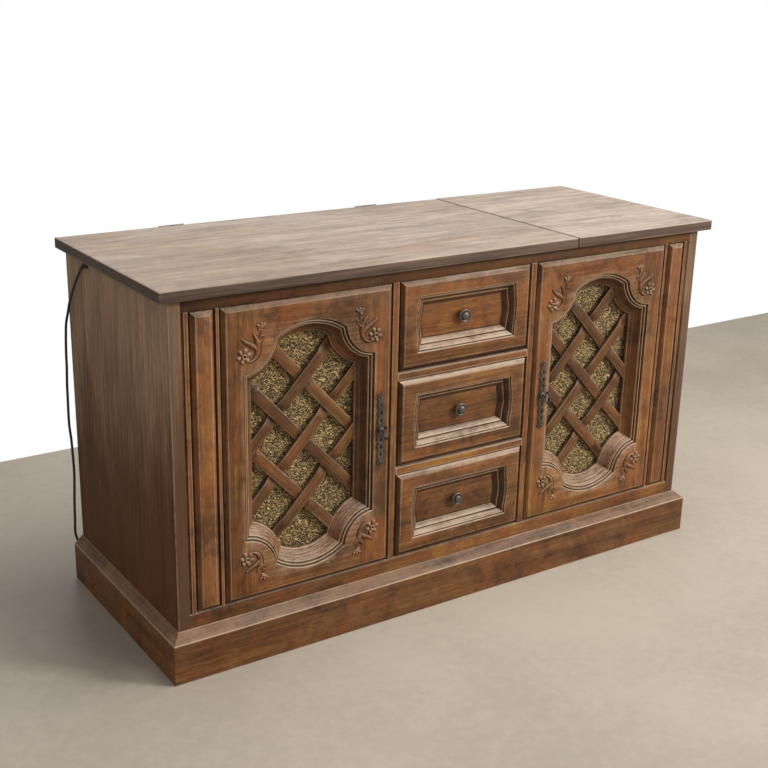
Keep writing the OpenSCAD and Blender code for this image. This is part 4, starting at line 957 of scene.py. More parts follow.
def make_door(side, sizes):
    """Door with a moulded opening and a seat for the cloth behind it"""
    node = "door_" + side
    deep = corners(node)[1].y
    bm = new_mesh()
    back, last = moulded_front(
        bm, node, DOOR_BACK, opening_outline, DOOR_SECTION, sizes.door_mould / 0.029,
        ((REBATE, CLOTH_SEAT + EASE, 0), (REBATE, deep - EASE, 0), (REBATE_FOOT, deep, 0),
         (REBATE_FOOT, DOOR_BACK, 0)))
    fill(bm, back, last)
    publish(bm, side + "_door_board", side + "_door", "door_oak", node, smooth=32)


def inside_outline(point, outline):
    """True if a plane point lies in a closed outline"""
    inside = False
    for a, b in zip(outline, outline[1:] + outline[:1]):
        if (a.y > point.y) != (b.y > point.y):
            if point.x < a.x + (point.y - a.y) * (b.x - a.x) / (b.y - a.y):
                inside = not inside
    return inside


SLAT_STEP = Vector((0.053, 0.0565))      # from one crossing of slats to the next
SLAT_FRONT, SLAT_DIVE, SLAT_PART = -0.1922, 0.0050, 0.0055
# Half a slat's section: place across in half widths, depth, wear and shade, and whether the
# dive shades it. The backs of the sides are dark with painted shade, and where a slat dives
# under another the marked rows get painted shade
SLAT_SECTION = ((-1, 3.1, -1, 0), (-1, -1.8, -0.3, 0), (-0.965, -2.6, 0.9, 0),
                (-0.87, -3.0, 0.5, 1), (0, -3.4, 0, 1), (0.87, -3.0, 0.5, 1),
                (0.965, -2.6, 0.9, 0), (1, -1.8, -0.3, 0), (1, 3.1, -1, 0))


def make_lattice(side, sizes):
    """Slats woven over and under each other, clipped behind the moulding"""
    x0, _, z0 = centre_of("door_" + side)
    over = 1 if side == "left" else -1
    shift = Vector((0, 0)) if side == "left" else Vector((-0.005, 0.004))
    half = sizes.slat_width / 2
    outline = opening_outline(LATTICE_INSET)
    bm = new_mesh()
    for lean in (1, -1):
        along = Vector((SLAT_STEP.x, SLAT_STEP.y * lean)).normalized()
        across = Vector((-along.y, along.x))
        for k in range(-1, 2):
            centre = Vector((0, k * 2 * SLAT_STEP.y)) + shift
            seen = [t for t in range(-420, 421, 2) if any(
                inside_outline(centre + along * t * MM + across * s * half, outline)
                for s in (-1, 0, 1))]
            start, end = (min(seen) - 6) * MM, (max(seen) + 6) * MM
            count = max(6, round((end - start) / SLAT_PART))
            sections = []
            for t in (start + (end - start) * i / count for i in range(count + 1)):
                wave = math.cos(math.pi * t / SLAT_STEP.length) * (over * lean)
                dive = 1 - eased(wave, -0.93, -0.5)
                y = SLAT_FRONT + SLAT_DIVE * dive
                section = []
                for place, depth, wear, shaded_in_dive in SLAT_SECTION:
                    p = centre + along * t + across * place * half
                    # Painted shade where the slat dives under the crossing one
                    section.append(((x0 + p.x, y + depth * MM, z0 + p.y),
                                    wear - 0.7 * dive * shaded_in_dive))
                sections.append(section)
            made = len(bm.faces)
            sweep(bm, sections)
            for face in list(bm.faces)[made:]:
                face.material_index = 0 if lean > 0 else 1
    publish(bm, side + "_lattice_slats", side + "_door", "slat_oak_up slat_oak_down",
            "lattice_" + side, smooth=30)


def make_cloth(side):
    """Flat cloth glued behind the opening"""
    low, high = corners("cloth_" + side)
    outline = opening_outline(CLOTH_INSET)
    bm = new_mesh()
    plate(bm, at_depth(outline, low.y, (low.x + high.x) / 2, DOOR_MIDDLE), [],
          (0, CLOTH_THICK, 0))
    area = 0.5 * abs(sum(a.x * b.y - b.x * a.y for a, b in zip(outline, outline[1:] + outline[:1])))
    cloth = publish(bm, side + "_grille_cloth", side + "_door", "grille_cloth", "cloth_" + side,
                    smooth=0)


def dome(bm, centre, half, turn=0.0):
    """A carved boss: an ellipsoid half sunk in the face, dark at its foot with painted shade that
    stands for the carved groove round it
    """
    made = bmesh.ops.create_uvsphere(bm, u_segments=12, v_segments=8, radius=1.0)["verts"]
    set_wear_and_shade(bm, made, [0.7 if v.co.y < -0.8 else -0.9 if v.co.y > -0.4 else 0.1 for v in made])
    matrix = (Matrix.Translation(centre) @ Matrix.Rotation(turn, 4, "Y")
              @ Matrix.Diagonal((*half, 1.0)))
    bmesh.ops.transform(bm, matrix=matrix, verts=made)


def ridge(bm, place, points, widths, height):
    """A carved strand along plane points, with dark feet at both sides: painted shade that stands
    for the carved grooves
    """
    route = rounded_route([(u, v, 0) for u, v in points], 5)
    total = len(route) - 1
    sections = []
    for i, p in enumerate(route):
        tangent = (route[min(i + 1, total)] - route[max(i - 1, 0)]).normalized()
        across = Vector((-tangent.y, tangent.x, 0))
        part = i / total * (len(widths) - 1)
        k = min(int(part), len(widths) - 2)
        half = (widths[k] + (widths[k + 1] - widths[k]) * (part - k)) * 0.66
        rise = height * min(1.0, half / (max(widths) * 0.3))
        sections.append([
            (place(p.x + across.x * s * half, p.y + across.y * s * half, h), wear)
            for s, h, wear in (
                (-1.35, -0.3, -1), (-1.3, 0.1, -1), (-0.85, 0.25, -0.8),
                (-0.45, rise * 0.85, 0.3), (0, rise, 0.6), (0.45, rise * 0.85, 0.3),
                (0.85, 0.25, -0.8), (1.3, 0.1, -1), (1.35, -0.3, -1))])
    sweep(bm, sections)


FLOWER_X = 0.130                # from the door's middle line
# Flowers of a door: side, height in mm from its middle, and reach of the stem
FLOWERS = ((1, 181.5, 1.0), (-1, -190, 0.84))
PETALS, PETAL_RING, PETAL_TURN = 6, 9.6, 12
# Stem, leaf, twig and tendril of a flower: points from its middle, widths and height, in mm
STRANDS = (
    (((9, -11.5), (17, -9), (23.5, -3), (26.5, 5), (27.2, 13), (26.6, 21), (23, 29), (17.5, 37)),
     (2.2, 4.6, 6.4, 7.4, 8.0, 7.4, 5.6, 1.6), 2.6),
    (((25.5, 7), (21, 13), (16, 17), (10, 20.5), (4, 24), (-1, 28), (-4, 32)),
     (3.0, 6.4, 7.2, 6.6, 5.4, 3.8, 1.4), 2.4),
    (((27.5, 19), (30, 26), (32, 33), (32.5, 40)), (2.6, 3.4, 3.0, 2.4), 1.6),
    (((29, 20), (33, 23), (36.6, 26), (37.4, 30), (34.6, 31.6), (32.8, 29.4)),
     (2.0, 3.0, 3.0, 2.6, 2.2, 1.6), 1.5))
BUD_PLACE = (32.8, 47)
# Bosses of the bud: offset from its middle, half width, half height and lean in degrees
BUD = ((0, 0, 7.6, 4.2, 15), (-5.6, 3.0, 4.2, 3.0, -20), (5.6, 3.4, 4.2, 2.8, 40),
       (0.4, 5.0, 3.4, 3.4, 0), (-2.6, -4.2, 4.0, 2.2, 0))
STEM_FOOT = 12          # strands keep their length below this height in the lower corners


def make_carving(side, sizes):
    """Six-petalled flowers with a curved stem and bud in a door's four corners"""
    x0, _, z0 = centre_of("door_" + side)
    size = sizes.flower_size / 0.025
    scale = size * MM
    bm = new_mesh()
    for out in (-1, 1):
        for up, height, reach in FLOWERS:

            def place(u, v, rise, out=out, up=up, height=height):
                return Vector((x0 + out * (FLOWER_X - u * scale), FACE - rise * MM,
                               z0 + height * MM + up * v * scale))

            for angle in (math.tau * k / PETALS + math.radians(PETAL_TURN) for k in range(PETALS)):
                u, v = PETAL_RING * math.cos(angle), PETAL_RING * math.sin(angle)
                spin = -math.atan2(up * v, out * -u)
                dome(bm, place(u, v, -0.6), (5.6 * scale, 3.4 * MM, 4.9 * scale), spin)
                dome(bm, place(u * 1.1, v * 1.1, 0.4), (2.9 * scale, 3.0 * MM, 2.4 * scale), spin)
            # The flower's middle: a ring, dark at its foot and in its hole with painted shade
            turned(bm, [(r * size, *point) for r, *point in (
                (5.2, -1, -1), (5.0, 3.0), (4.0, 4.2, 1), (2.7, 3.8, 0.6), (1.8, 1.8, -1),
                (0, 1.2, -1))], place(0, 0, 0), 16)
            for points, widths, rise in STRANDS:
                ridge(bm, place, [(u, v * (reach if v > STEM_FOOT else 1)) for u, v in points],
                      widths, rise)
            for u, v, w, h, lean in BUD:
                dome(bm, place(BUD_PLACE[0] + u, BUD_PLACE[1] * reach + v, -0.5),
                     (w * scale, 3.4 * MM, h * scale),
                     math.radians(lean) * out * up)
            # The bud's tip, dark at its foot and in its middle with painted shade
            turned(bm, [(r * size, *point) for r, *point in (
                (2.6, -1, -1), (2.5, 3.6, 0.2), (1.6, 4.0, 1), (0.8, 2.2, -0.8), (0, 1.8, -1))],
                place(BUD_PLACE[0], (BUD_PLACE[1] + 0.5) * reach, 0), 12)
    publish(bm, side + "_door_carving", side + "_door", "door_oak", smooth=50)


# ---------------------------------------------------------------- iron on the doors

PLATE_FRONT = -0.2243
STEM_Y = -0.2335                # where the key's stem meets its bow
BOW_DEPTH, BOW_HEIGHT, BOW_WIRE = 17.0, 27.0, 2.0
CAM_Y, CAM_THICK = -0.1955, 0.0025
BOSS = 11                       # half height of the plate's middle field, in mm
KEY_STEM = (
    (3, -42), (3, 0), (3.8, 0.6, 0.8), (3.8, 1.6, 0.8), (2.8, 2.4), (2.6, 5.2), (3.9, 6.0, 0.8),
    (3.9, 7.2, 0.8), (2.6, 8.2), (2.4, 10.2), (0, 10.4))


def scalloped(z, reach):
    """Half the width of a pull's plate at a height from its middle, in mm"""
    a = abs(z)
    if a < BOSS:
        return 7.2 + 1.8 * math.cos(a / BOSS * math.pi / 2)
    part = (a - BOSS) / (reach - BOSS)
    lobes = abs(math.sin(math.pi * 4 * part)) ** 0.7 * (1 - 0.3 * part)
    return (4.0 + 4.4 * lobes) * (1 if part < 0.97 else 0.3)


def make_pull(side):
    """Pierced iron backplate with a boss and small rings"""
    node = "pull_" + side
    low, high = corners(node)
    x0, _, z0 = centre_of(node)
    reach = (high.z - low.z) / 2 / MM
    half = [Vector((scalloped(z, reach), z)) * MM for z in
            (reach * i / 56 for i in range(-56, 57))]
    outline = half + [Vector((-p.x, p.y)) for p in reversed(half)]
    holes = []
    for up in (-1, 1):
        for k, (half_w, half_h) in enumerate(((2.7, 4.0), (2.4, 3.8), (2.0, 3.4))):
            middle = up * (BOSS + (reach - BOSS) * (k + 0.5) / 4)
            holes.append([Vector((p.x * half_w, middle + p.y * half_h)) * MM
                          for p in ring(1, 14)])
    bm = new_mesh()
    plate(bm, at_depth(outline, FACE, x0, z0), [at_depth(hole, FACE, x0, z0) for hole in holes],
          (0, PLATE_FRONT - FACE, 0))
    for up in (-1, 1):
        turned(bm, ((2.6, -1), (2.4, 1.2, 0.4), (1.4, 2.2, 0.8), (0, 2.6, 0.8)),
               (x0, PLATE_FRONT, z0 + up * (reach - 7.5) * MM), 16)
        for x in (-1, 1):
            for radius, thick, across, along in ((2.6, 0.9, 5.2, 11.5), (2.1, 0.8, 4.4, 34)):
                turned(bm, ring_profile(radius, thick),
                       (x0 + x * across * MM, PLATE_FRONT, z0 + up * along * MM), 20, closed=True)
    turned(bm, ((6.6, -1), (6.5, 1.4, 0.3), (5.4, 3.2, 0.7), (4.6, 4.0, 0.9), (3.3, 4.2, 0.5),
                (3.2, 0)), (x0, PLATE_FRONT, z0), 32)
    publish(bm, side + "_pull_plate", side + "_door", "dark_iron", node, bevel=(0.0005, 2))


def make_key(side):
    """Key with a turned stem, an oval bow and the cam that it turns"""
    x0, _, z0 = centre_of("pull_" + side)
    bm = new_mesh()
    turned(bm, KEY_STEM, (x0, STEM_Y + 0.009, z0), 24)
    radius = (BOW_DEPTH + BOW_HEIGHT) / 4 - BOW_WIRE
    made = turned(bm, ring_profile(radius, 1.9), (0, 0, 0), 40, "X", closed=True)
    middle = Vector((x0, STEM_Y - BOW_DEPTH / 2 * MM, z0))
    oval = Matrix.Diagonal((1, (BOW_DEPTH / 2 - BOW_WIRE) / radius,
                            (BOW_HEIGHT / 2 - BOW_WIRE) / radius, 1))
    bmesh.ops.transform(bm, matrix=Matrix.Translation(middle) @ oval, verts=made)
    for up in (-1, 1):
        dome(bm, middle + Vector((0, 0, up * (BOW_HEIGHT / 2 - 3) * MM)),
             (2.3 * MM, 2.6 * MM, 2.4 * MM))
    turned(bm, ((4.5, 0), (4.5, 2.5), (0, 2.5), (0, 0)), (x0, CAM_Y + CAM_THICK, z0), 24)
    box(bm, (x0 - 0.0035, CAM_Y, z0), (x0 + 0.0035, CAM_Y + CAM_THICK, z0 + 0.031), 0.0005)
    publish(bm, side + "_key_bow", side + "_key", "dark_iron", "key_" + side)


# ---------------------------------------------------------------- drawers

# Section of a drawer's moulding: (inset, depth, wear and shade), in mm over its full width of 22.
# Rows below 0 darken the grooves as dirt and painted shade
DRAWER_SECTION = (
    (0, 0, 0.5), (0.9, 0.2, 1.0), (1.9, 1.0, 0.7), (2.4, 2.4, -0.9), (3.2, 2.7, -0.9),
    (3.8, 1.9, 0.6), (5.0, 1.9, 0.8), (6.4, 3.0, 0.4), (8.2, 5.2, 0.2), (10.0, 7.8, 0.2),
    (11.2, 10.0, -0.1), (11.7, 11.2, -0.9), (12.5, 11.4, -0.8), (13.1, 10.6, 0.5),
    (14.3, 10.5, 0.9), (16.0, 11.8, 0.4), (18.0, 14.0, 0.1), (19.8, 16.4, 0.0),
    (21.2, 18.3, -0.4), (22, 19, -1.0))
KNOB = (
    (0, 0), (8, 0), (8, 1.1), (7.2, 1.9), (5.4, 3.0), (4.8, 4.6), (5.0, 6.0), (7.6, 6.6),
    (11, 6.9, 0.3), (12.5, 7.5, 0.6), (13, 8.5, 0.9), (12.9, 9.5, 0.9), (12.3, 10.4, 1.0),
    (11.3, 10.8, 0.8), (10.2, 10.6), (9.4, 9.9, -1), (8.8, 9.8, -1), (8.4, 10.6),
    (7.9, 12.2, 0.5), (6.8, 13.6, 0.7), (5.0, 14.6, 0.7), (2.6, 15.0, 0.6), (0, 15.1, 0.6))


def panel_outline(inset, steps=20):
    """Outline of a drawer's sunk panel, with softly swelling ends"""
    half_w, half_h = 0.113 - inset, 0.054 - inset
    right = [Vector((half_w + 0.002 * (1 - math.cos(math.tau * i / steps)),
                     half_h * (2 * i / steps - 1))) for i in range(steps + 1)]
    return right + [-p for p in right]


def make_drawer_front(level, sizes):
    """Drawer front with a moulding round its sunk panel"""
    node = "drawer_front_" + level
    low, high = corners(node)
    bm = new_mesh()
    # The row after the moulding darkens the sunk panel a little with painted shade
    back, last = moulded_front(bm, node, high.y, panel_outline, DRAWER_SECTION,
                               sizes.drawer_mould / 0.022, ((24.5, low.y + 0.01895, -0.15),))
    fill(bm, back)
    fill(bm, last)
    publish(bm, level + "_drawer_panel", level + "_drawer", "drawer_oak", node,
            smooth=32)


def make_knob(level):
    """Turned pewter knob with a raised ring and a domed middle"""
    node = "drawer_knob_" + level
    x0, _, z0 = centre_of(node)
    bm = new_mesh()
    turned(bm, KNOB, (x0, corners(node)[1].y, z0), 48)
    publish(bm, level + "_drawer_pull", level + "_drawer", "pewter", node)


# ---------------------------------------------------------------- case

# Rails: half width, front, foot, top, rounding and wear and shade; all start at RAIL_BACK. The top
# rail's -0.5 is painted shadow under the lid's overhang
RAIL_BACK = -197
RAILS = ((575.5, -217, 657, 680, 0.8, -0.5), (575.5, -217, 60, 117, 1.2, 0.5),
         (152.2, -217.2, 287, 302, 1.6, 1.0), (152.2, -217.2, 472, 487, 1.6, 1.0))
# Stiles and grooves on the right: two sides, front, back, rounding and wear and shade. The sunk
# board at -1.0 is dark with painted shade in the grooves beside the pilaster
STILE_FOOT, STILE_TOP = 117, 657
STILES = ((152, 165, -217, -197, 1.4, 0.7), (507, 513, -217, -193, 1.2, 0.8),
          (512.5, 575.5, -209, -193, 0.4, -1.0), (562, 570, -217, -208.5, 1.2, 0.8),
          (570, 575.5, -213.5, -208.5, 0.8, 0.2))
# Section of the base moulding: (offset from the case, height, wear), in mm
BASE_SECTION = (
    (0, 0, 0), (19, 0, 0), (20, 1, 0.7), (20, 4, -0.2), (20, 40, 0), (20, 73.5, 0.1),
    (19.8, 75, 0.9), (19.0, 76.2, 1.0), (17.5, 77.4, 0.3), (9, 84.5, 0), (2.2, 89.8, 0.2),
    (1.0, 90.8, 0.9), (0, 91, 0.3))
# Pilasters: middle from the cabinet's middle, half width, half height and thickness
PILASTER_X, PILASTER_HALF_W, PILASTER_HALF_H, PILASTER_THICK = 0.5375, 0.0205, 0.2675, 0.013
# Vent screens: middles and half width in mm, and both edges below the back's top
VENTS, VENT_HALF_W, VENT_FOOT, VENT_TOP = (-370, 0, 370), 88, 0.182, 0.094
# Bars of the base: name, grain, both ends, and how the section leans out at each
BASE_BARS = (("front", "X", (-597, -217), (597, -217), (-1, -1), (1, -1)),
             ("left", "Y", (-597, 237), (-597, -217), (-1, 0), (-1, -1)),
             ("right", "Y", (597, -217), (597, 237), (1, -1), (1, 0)))


def block(name, node, body, material, bevel, wear, segments, lowest=0.0):
    """A piece that fills a node's box, down to a lowest height"""
    low, high = corners(node)
    low.z = max(low.z, lowest)
    bm = new_mesh()
    box(bm, low, high, bevel, wear, segments)
    publish(bm, name, body, material, node)


def make_front_frame():
    """Rails, stiles with their grooves, and the two raised pilasters"""
    bm = new_mesh()
    for half, front, foot, top, bevel, wear in RAILS:
        mm_box(bm, (-half, front, foot), (half, RAIL_BACK, top), bevel, wear)
    publish(bm, "front_rails", "cabinet", "stained_oak_X", "face_frame")
    bm = new_mesh()
    for near, far, front, back, bevel, wear in STILES:
        for first, last in ((near, far), (-far, -near)):
            mm_box(bm, (first, front, STILE_FOOT), (last, back, STILE_TOP), bevel, wear)
    publish(bm, "front_stiles", "cabinet", "stained_oak_Z", "face_frame")
    bm = new_mesh()
    for side in (-1, 1):
        rim = face_rim(bm, side * PILASTER_X, DOOR_MIDDLE, PILASTER_HALF_W, PILASTER_HALF_H,
                       FACE, FACE + PILASTER_THICK)
        fill(bm, rim[0])
        fill(bm, rim[-1])
    publish(bm, "front_pilasters", "cabinet", "stained_oak_Z", "pilasters")


def make_base():
    """Front and side bars of the base moulding, mitred at the corners"""
    for name, axis, first, last, *leans in BASE_BARS:
        ends = [[Vector((x + lean_x * offset * 0.9, y + lean_y * offset, height)) * MM
                 for offset, height, _ in BASE_SECTION]
                for (x, y), (lean_x, lean_y) in zip((first, last), leans)]
        bm = new_mesh()
        sweep(bm, [[(a.lerp(b, part / 24), wear) for a, b, (_, _, wear) in
                    zip(*ends, BASE_SECTION)] for part in range(25)])
        publish(bm, "base_" + name, "cabinet", "plinth_oak_" + axis, "base_moulding",
                smooth=25)


def make_top():
    """Long lid and short fixed board, with rounded and rubbed edges"""
    for name, node, body, material in (
            ("lid_board", "lid_panel", "lid", "weathered_top"),
            ("top_board", "top_right", "cabinet", "weathered_top_right")):
        block(name, node, body, material, 0.0016, 0.8, 3)


def make_vent_screens():
    """Fine dark mesh behind the slots of the back"""
    low, high = corners("back_panel")
    bm = new_mesh()
    for bay in VENTS:
        box(bm, ((bay - VENT_HALF_W) * MM, low.y - 0.0009, high.z - VENT_FOOT),
            ((bay + VENT_HALF_W) * MM, low.y - 0.0002, high.z - VENT_TOP))
    publish(bm, "vent_screens", "cabinet", "black_plate", smooth=0)


# ---------------------------------------------------------------- loudspeakers


def speaker_profiles(r, depth):
    """Frame and cone of a loudspeaker in mm, as radius and depth behind the board"""
    rim = [(r - 3, 0), (r + 8, 0), (r + 8, 3), (r + 4, 4), (r - 2, 4.6), (r * 0.86, depth * 0.24),
           (r * 0.5, depth * 0.52), (r * 0.42, depth * 0.6), (r * 0.42, depth), (0, depth),
           (0, depth - 3), (r * 0.2, depth - 3), (r * 0.24, depth * 0.58),
           (r * 0.5, depth * 0.42), (r * 0.84, depth * 0.16)]
    cone = [(0, depth * 0.3 - r / 22)]
    cone += [(r * 0.27 * p.x, depth * 0.3 - r * 0.11 * p.y)
             for p in arc((0, 0), 1, math.pi / 2, 0, 6)[1:]]
    cone += [(r * 0.3, depth * 0.31), (r * 0.44, depth * 0.22), (r * 0.6, depth * 0.13),
             (r * 0.76, 3.0)]
    cone += [(p.x, 2.6 - p.y * 0.9) for p in arc((r * 0.87, 0), r * 0.085, math.pi, 0, 8)]
    cone += [(r - 2, 2.0), (r - 2, 3.4), (r * 0.76, 4.2), (r * 0.44, depth * 0.24),
             (0, depth * 0.36)]
    return rim, cone


def make_loudspeakers():
    """Woofers and tweeters: frame, gasket, rolled surround, cone, cap and magnet"""
    meshes = [new_mesh(), new_mesh()]
    for x in (-370.75, 370.75):
        for z, r, depth in ((300, 88, 66), (470, 32, 24)):
            for bm, profile, steps in zip(meshes, speaker_profiles(r, depth), (56, 64)):
                turned(bm, [(a, -b) for a, b in profile], Vector((x, -153, z)) * MM, steps,
                       closed=True)
    publish(meshes[0], "speaker_frames", "cabinet", "sheet_metal", "loudspeakers")
    publish(meshes[1], "speaker_cones", "cabinet", "cone_paper", "loudspeakers", smooth=40)


# ---------------------------------------------------------------- record changer

# Rim of the changer's plate: inset, depth below its top, corner radius and wear
PLATE_RIM = (
    (2, 18, 12, 0), (0, 17, 14, 0), (0, 3.5, 14, 0.3), (1.0, 1.4, 13, 0.8), (3.0, 0.4, 11, 0.5),
    (6, 0.1, 9, 0), (11, 0, 8, 0), (12.5, 1.3, 7, -0.6), (14.5, 1.4, 7, -0.4), (16, 0, 6, 0.6))
# Pan with the works below the plate: half sizes and top
PAN_HALF_X, PAN_HALF_Y, PAN_TOP = 0.148, 0.123, 0.5725
SCREW_INSET, LEVER_HOLE, LEVER_WELL = 0.009, 0.0028, 0.005
SCREW = ((4.2, -1), (4.2, 0.4, 0.3), (3.4, 1.0, 0.8), (0, 1.3, 0.8))
BEADS, BEAD_RING, BEAD_HEIGHT, BEAD_RADIUS = 72, 0.1314, 0.599, 0.0021
PLATTER_EDGE = (
    (3.9, 590.4), (14, 590.4), (14, 593), (118, 593), (120, 595.5), (127, 595.5), (129, 593.2),
    (131, 593.2), (132.4, 594), (133, 596), (133, 602), (132.4, 604.2), (131, 605), (129, 605),
    (128.4, 604.2), (127, 604.2), (126, 605), (3.9, 605))
SPINDLE = (
    (0, 590), (3.6, 590), (3.6, 628), (3.0, 629), (3.0, 631), (3.5, 632), (3.4, 634.5),
    (2.4, 636.4), (0, 637))
POST = (
    (0, 590), (16, 590), (16, 594, 0.3), (15, 596.4, 0.8), (11.5, 598, 0.2), (9, 599),
    (9, 610.4, 0.3), (8.4, 611.7, 0.8), (3, 611.7), (3, 621.9), (0, 622))
REST = ((0, 590), (5, 590), (5, 592), (3.4, 593.5), (3.4, 612), (4.4, 613.6), (0, 613.7))
REST_Y, REST_HALF = -0.012, 0.004
PIVOT = (
    (3.3, 612.1), (10, 612.1), (11, 613), (11, 618), (10.2, 619), (10.2, 622.5), (11, 623.5),
    (11, 628), (9.8, 629.8), (5, 630), (4.4, 629.2), (0, 629), (0, 622.3), (3.3, 622.3))
ARM_HEIGHT = 0.621
LEVER_LENGTH = 0.030
LEVER_HUB = (
    (0, 586), (2.4, 586), (2.4, 590.3), (8, 590.3, 0.2), (8, 594, 0.8), (6.8, 595.3, 0.8),
    (0, 595.3))
LEVER_KNOB = (
    (0, 590.3), (5, 590.3), (5, 592, 0.3), (4.2, 594), (4.2, 596.5), (5, 597.6, 0.8),
    (4.6, 598.8, 0.8), (0, 599.3))


def make_changer():
    """Enamelled plate with a stepped rim, screws and the sunk works below it"""
    low, high = corners("changer_base")
    top, centre, half = high.z, (low + high) / 2, (high - low) / 2
    bm = new_mesh()
    rows = [loop(bm, rounded_section(
        Vector((centre.x, centre.y, top - down * MM)), Vector((1, 0, 0)), Vector((0, 1, 0)),
        half.x / MM - inset, half.y / MM - inset, radius, 6), wear)
        for inset, down, radius, wear in PLATE_RIM]
    bridge(bm, rows)
    hole, well = (loop(bm, at_height(ring(LEVER_HOLE, 16), z, *LEVER))
                  for z in (top, top - LEVER_WELL))
    bridge(bm, [hole, well])
    fill(bm, well)
    fill(bm, rows[-1], hole)
    fill(bm, rows[0])
    box(bm, (centre.x - PAN_HALF_X, centre.y - PAN_HALF_Y, low.z),
        (centre.x + PAN_HALF_X, centre.y + PAN_HALF_Y, PAN_TOP), 0.003, 0.3)
    places = rectangle(half.x - SCREW_INSET, half.y - SCREW_INSET)
    for place in at_height(places, top, *centre.xy):
        turned(bm, SCREW, place, 20, "Z")
    publish(bm, "changer_plate", "cabinet", "cream_enamel", "changer_base")


def make_platter():
    """Platter with a strobe-like beaded edge, ribbed mat and spindle"""
    place = (*PLATTER, 0)
    bm = new_mesh()
    turned(bm, PLATTER_EDGE, place, 96, "Z", closed=True)
    for spot in at_height(ring(BEAD_RING, BEADS, PLATTER), BEAD_HEIGHT):
        made = bmesh.ops.create_uvsphere(bm, u_segments=8, v_segments=5,
                                         radius=BEAD_RADIUS)["verts"]
        bmesh.ops.transform(bm, matrix=Matrix.Translation(spot)
                            @ Matrix.Diagonal((0.75, 0.75, 1.3, 1)), verts=made)
    publish(bm, "platter_disc", "turntable", "turned_metal", "platter")
    bm = new_mesh()
    mat = [(3.9, 605.1), (128, 605.1), (129, 606), (129, 607.4), (128.2, 608)]
    for r in (126 - 5.2 * i for i in range(17)):
        mat += [(r, 608), (r - 0.7, 606.9), (r - 2.6, 606.9), (r - 3.3, 608)]
    mat += [(36, 608), (34, 606.6), (3.9, 606.6)]
    turned(bm, mat, place, 80, "Z", closed=True)
    publish(bm, "ribbed_mat", "turntable", "mat_rubber", "platter_mat", smooth=30)
    bm = new_mesh()
    turned(bm, SPINDLE, place, 32, "Z")
    publish(bm, "centre_spindle", "cabinet", "bright_metal", "spindle")


def make_tonearm():
    """Slim arm with a headshell, finger lift and counterweight, on its post and rest"""
    x, y = ARM
    bm = new_mesh()
    turned(bm, POST, (x, y, 0), 40, "Z")
    turned(bm, REST, (x, REST_Y, 0), 28, "Z")
    front, back = REST_Y - REST_HALF, REST_Y + REST_HALF
    box(bm, (x - 0.005, front, 0.6137), (x + 0.009, back, 0.6165), 0.0006, 0.5)
    box(bm, (x + 0.0045, front, 0.614), (x + 0.009, back, 0.6227), 0.0008, 0.8)
    publish(bm, "arm_stand", "cabinet", "pewter", "arm_post")
    bm = new_mesh()
    turned(bm, PIVOT, (x, y, 0), 40, "Z", closed=True)
    for section in ((4, 0.4, 10.5, 200), (5.6, 0.8, 186, 204), (4, 0.4, -20.5, -10.5)):
        turned(bm, bar(*section), (x, y, ARM_HEIGHT), 20)
    weight = [(0, -20), (10, -20), (11, -21)]
    for start in (-22.2 - 2.6 * i for i in range(8)):
        weight += [(11, start), (10.4, start - 0.4), (10.4, start - 1.2), (11, start - 1.6)]
    turned(bm, weight + [(11, -45), (9.6, -46), (0, -46)], (x, y, ARM_HEIGHT), 36)
    head = Vector((x, y - 0.238, ARM_HEIGHT - 0.006))
    for low, high, *edge in (
            ((-9, 0, 0), (9, 38, 10), 0.0022, 0.8, 3),
            ((-6, 6, -2.5), (6, 24, 1), 0.0006, 0.2),
            ((8.8, 8, 3.5), (10.8, 26, 5), 0.0003, 0.6)):
        box(bm, head + Vector(low) * MM, head + Vector(high) * MM, *edge)
    publish(bm, "pickup_arm", "arm", "silver_plastic", "tonearm")


def make_lever():
    """Start lever: a hub, a short arm and a small knob at its end"""
    x, y = LEVER
    bm = new_mesh()
    turned(bm, LEVER_HUB, (x, y, 0), 32, "Z")
    box(bm, (x - 0.003, y - LEVER_LENGTH, 0.5903), (x + 0.003, y, 0.5943), 0.0008, 0.7)
    turned(bm, LEVER_KNOB, (x, y - LEVER_LENGTH, 0), 32, "Z")
    publish(bm, "start_lever", "lever", "silver_plastic", "play_lever")


# ---------------------------------------------------------------- tuner

KNOB_RINGS = ((-0.105, 0.0175), (-0.052, 0.0175), (0.105, 0.0225))  # place, radius of marks
SHANK_HOLE = 0.0035
BUTTONS = (-0.012, 0.016, 0.044)
BUTTON_HOLE = (0.0084, 0.0054)              # half sizes of the openings
WINDOW_HOLE, BEZEL_HOLE, BEZEL_EDGE = (0.125, 0.023), (0.1245, 0.0225), (0.1295, 0.0275)
SCALE_Y, SCALE_Z, SCALE_HALF = (0.098, 0.073), 0.6401, 0.118
MARK, SHORT, LONG = 0.0002, 0.0024, 0.0046      # thickness and lengths of the scale's marks
FIGURE_SIZE, FIGURE_START, FIGURE_STEP, FIGURE_Z = 0.0062, -0.1, 0.04, 0.6403
FIGURES = ((0.087, ("88", "92", "96", "100", "104", "108")),
           (0.062, ("5", "6", "7", "9", "12", "16")))
BEZEL_Z, KNOB_FOOT = 0.65205, 0.6523
POINTER_FOOT = 0.6408           # keeps the pointer clear of the figures


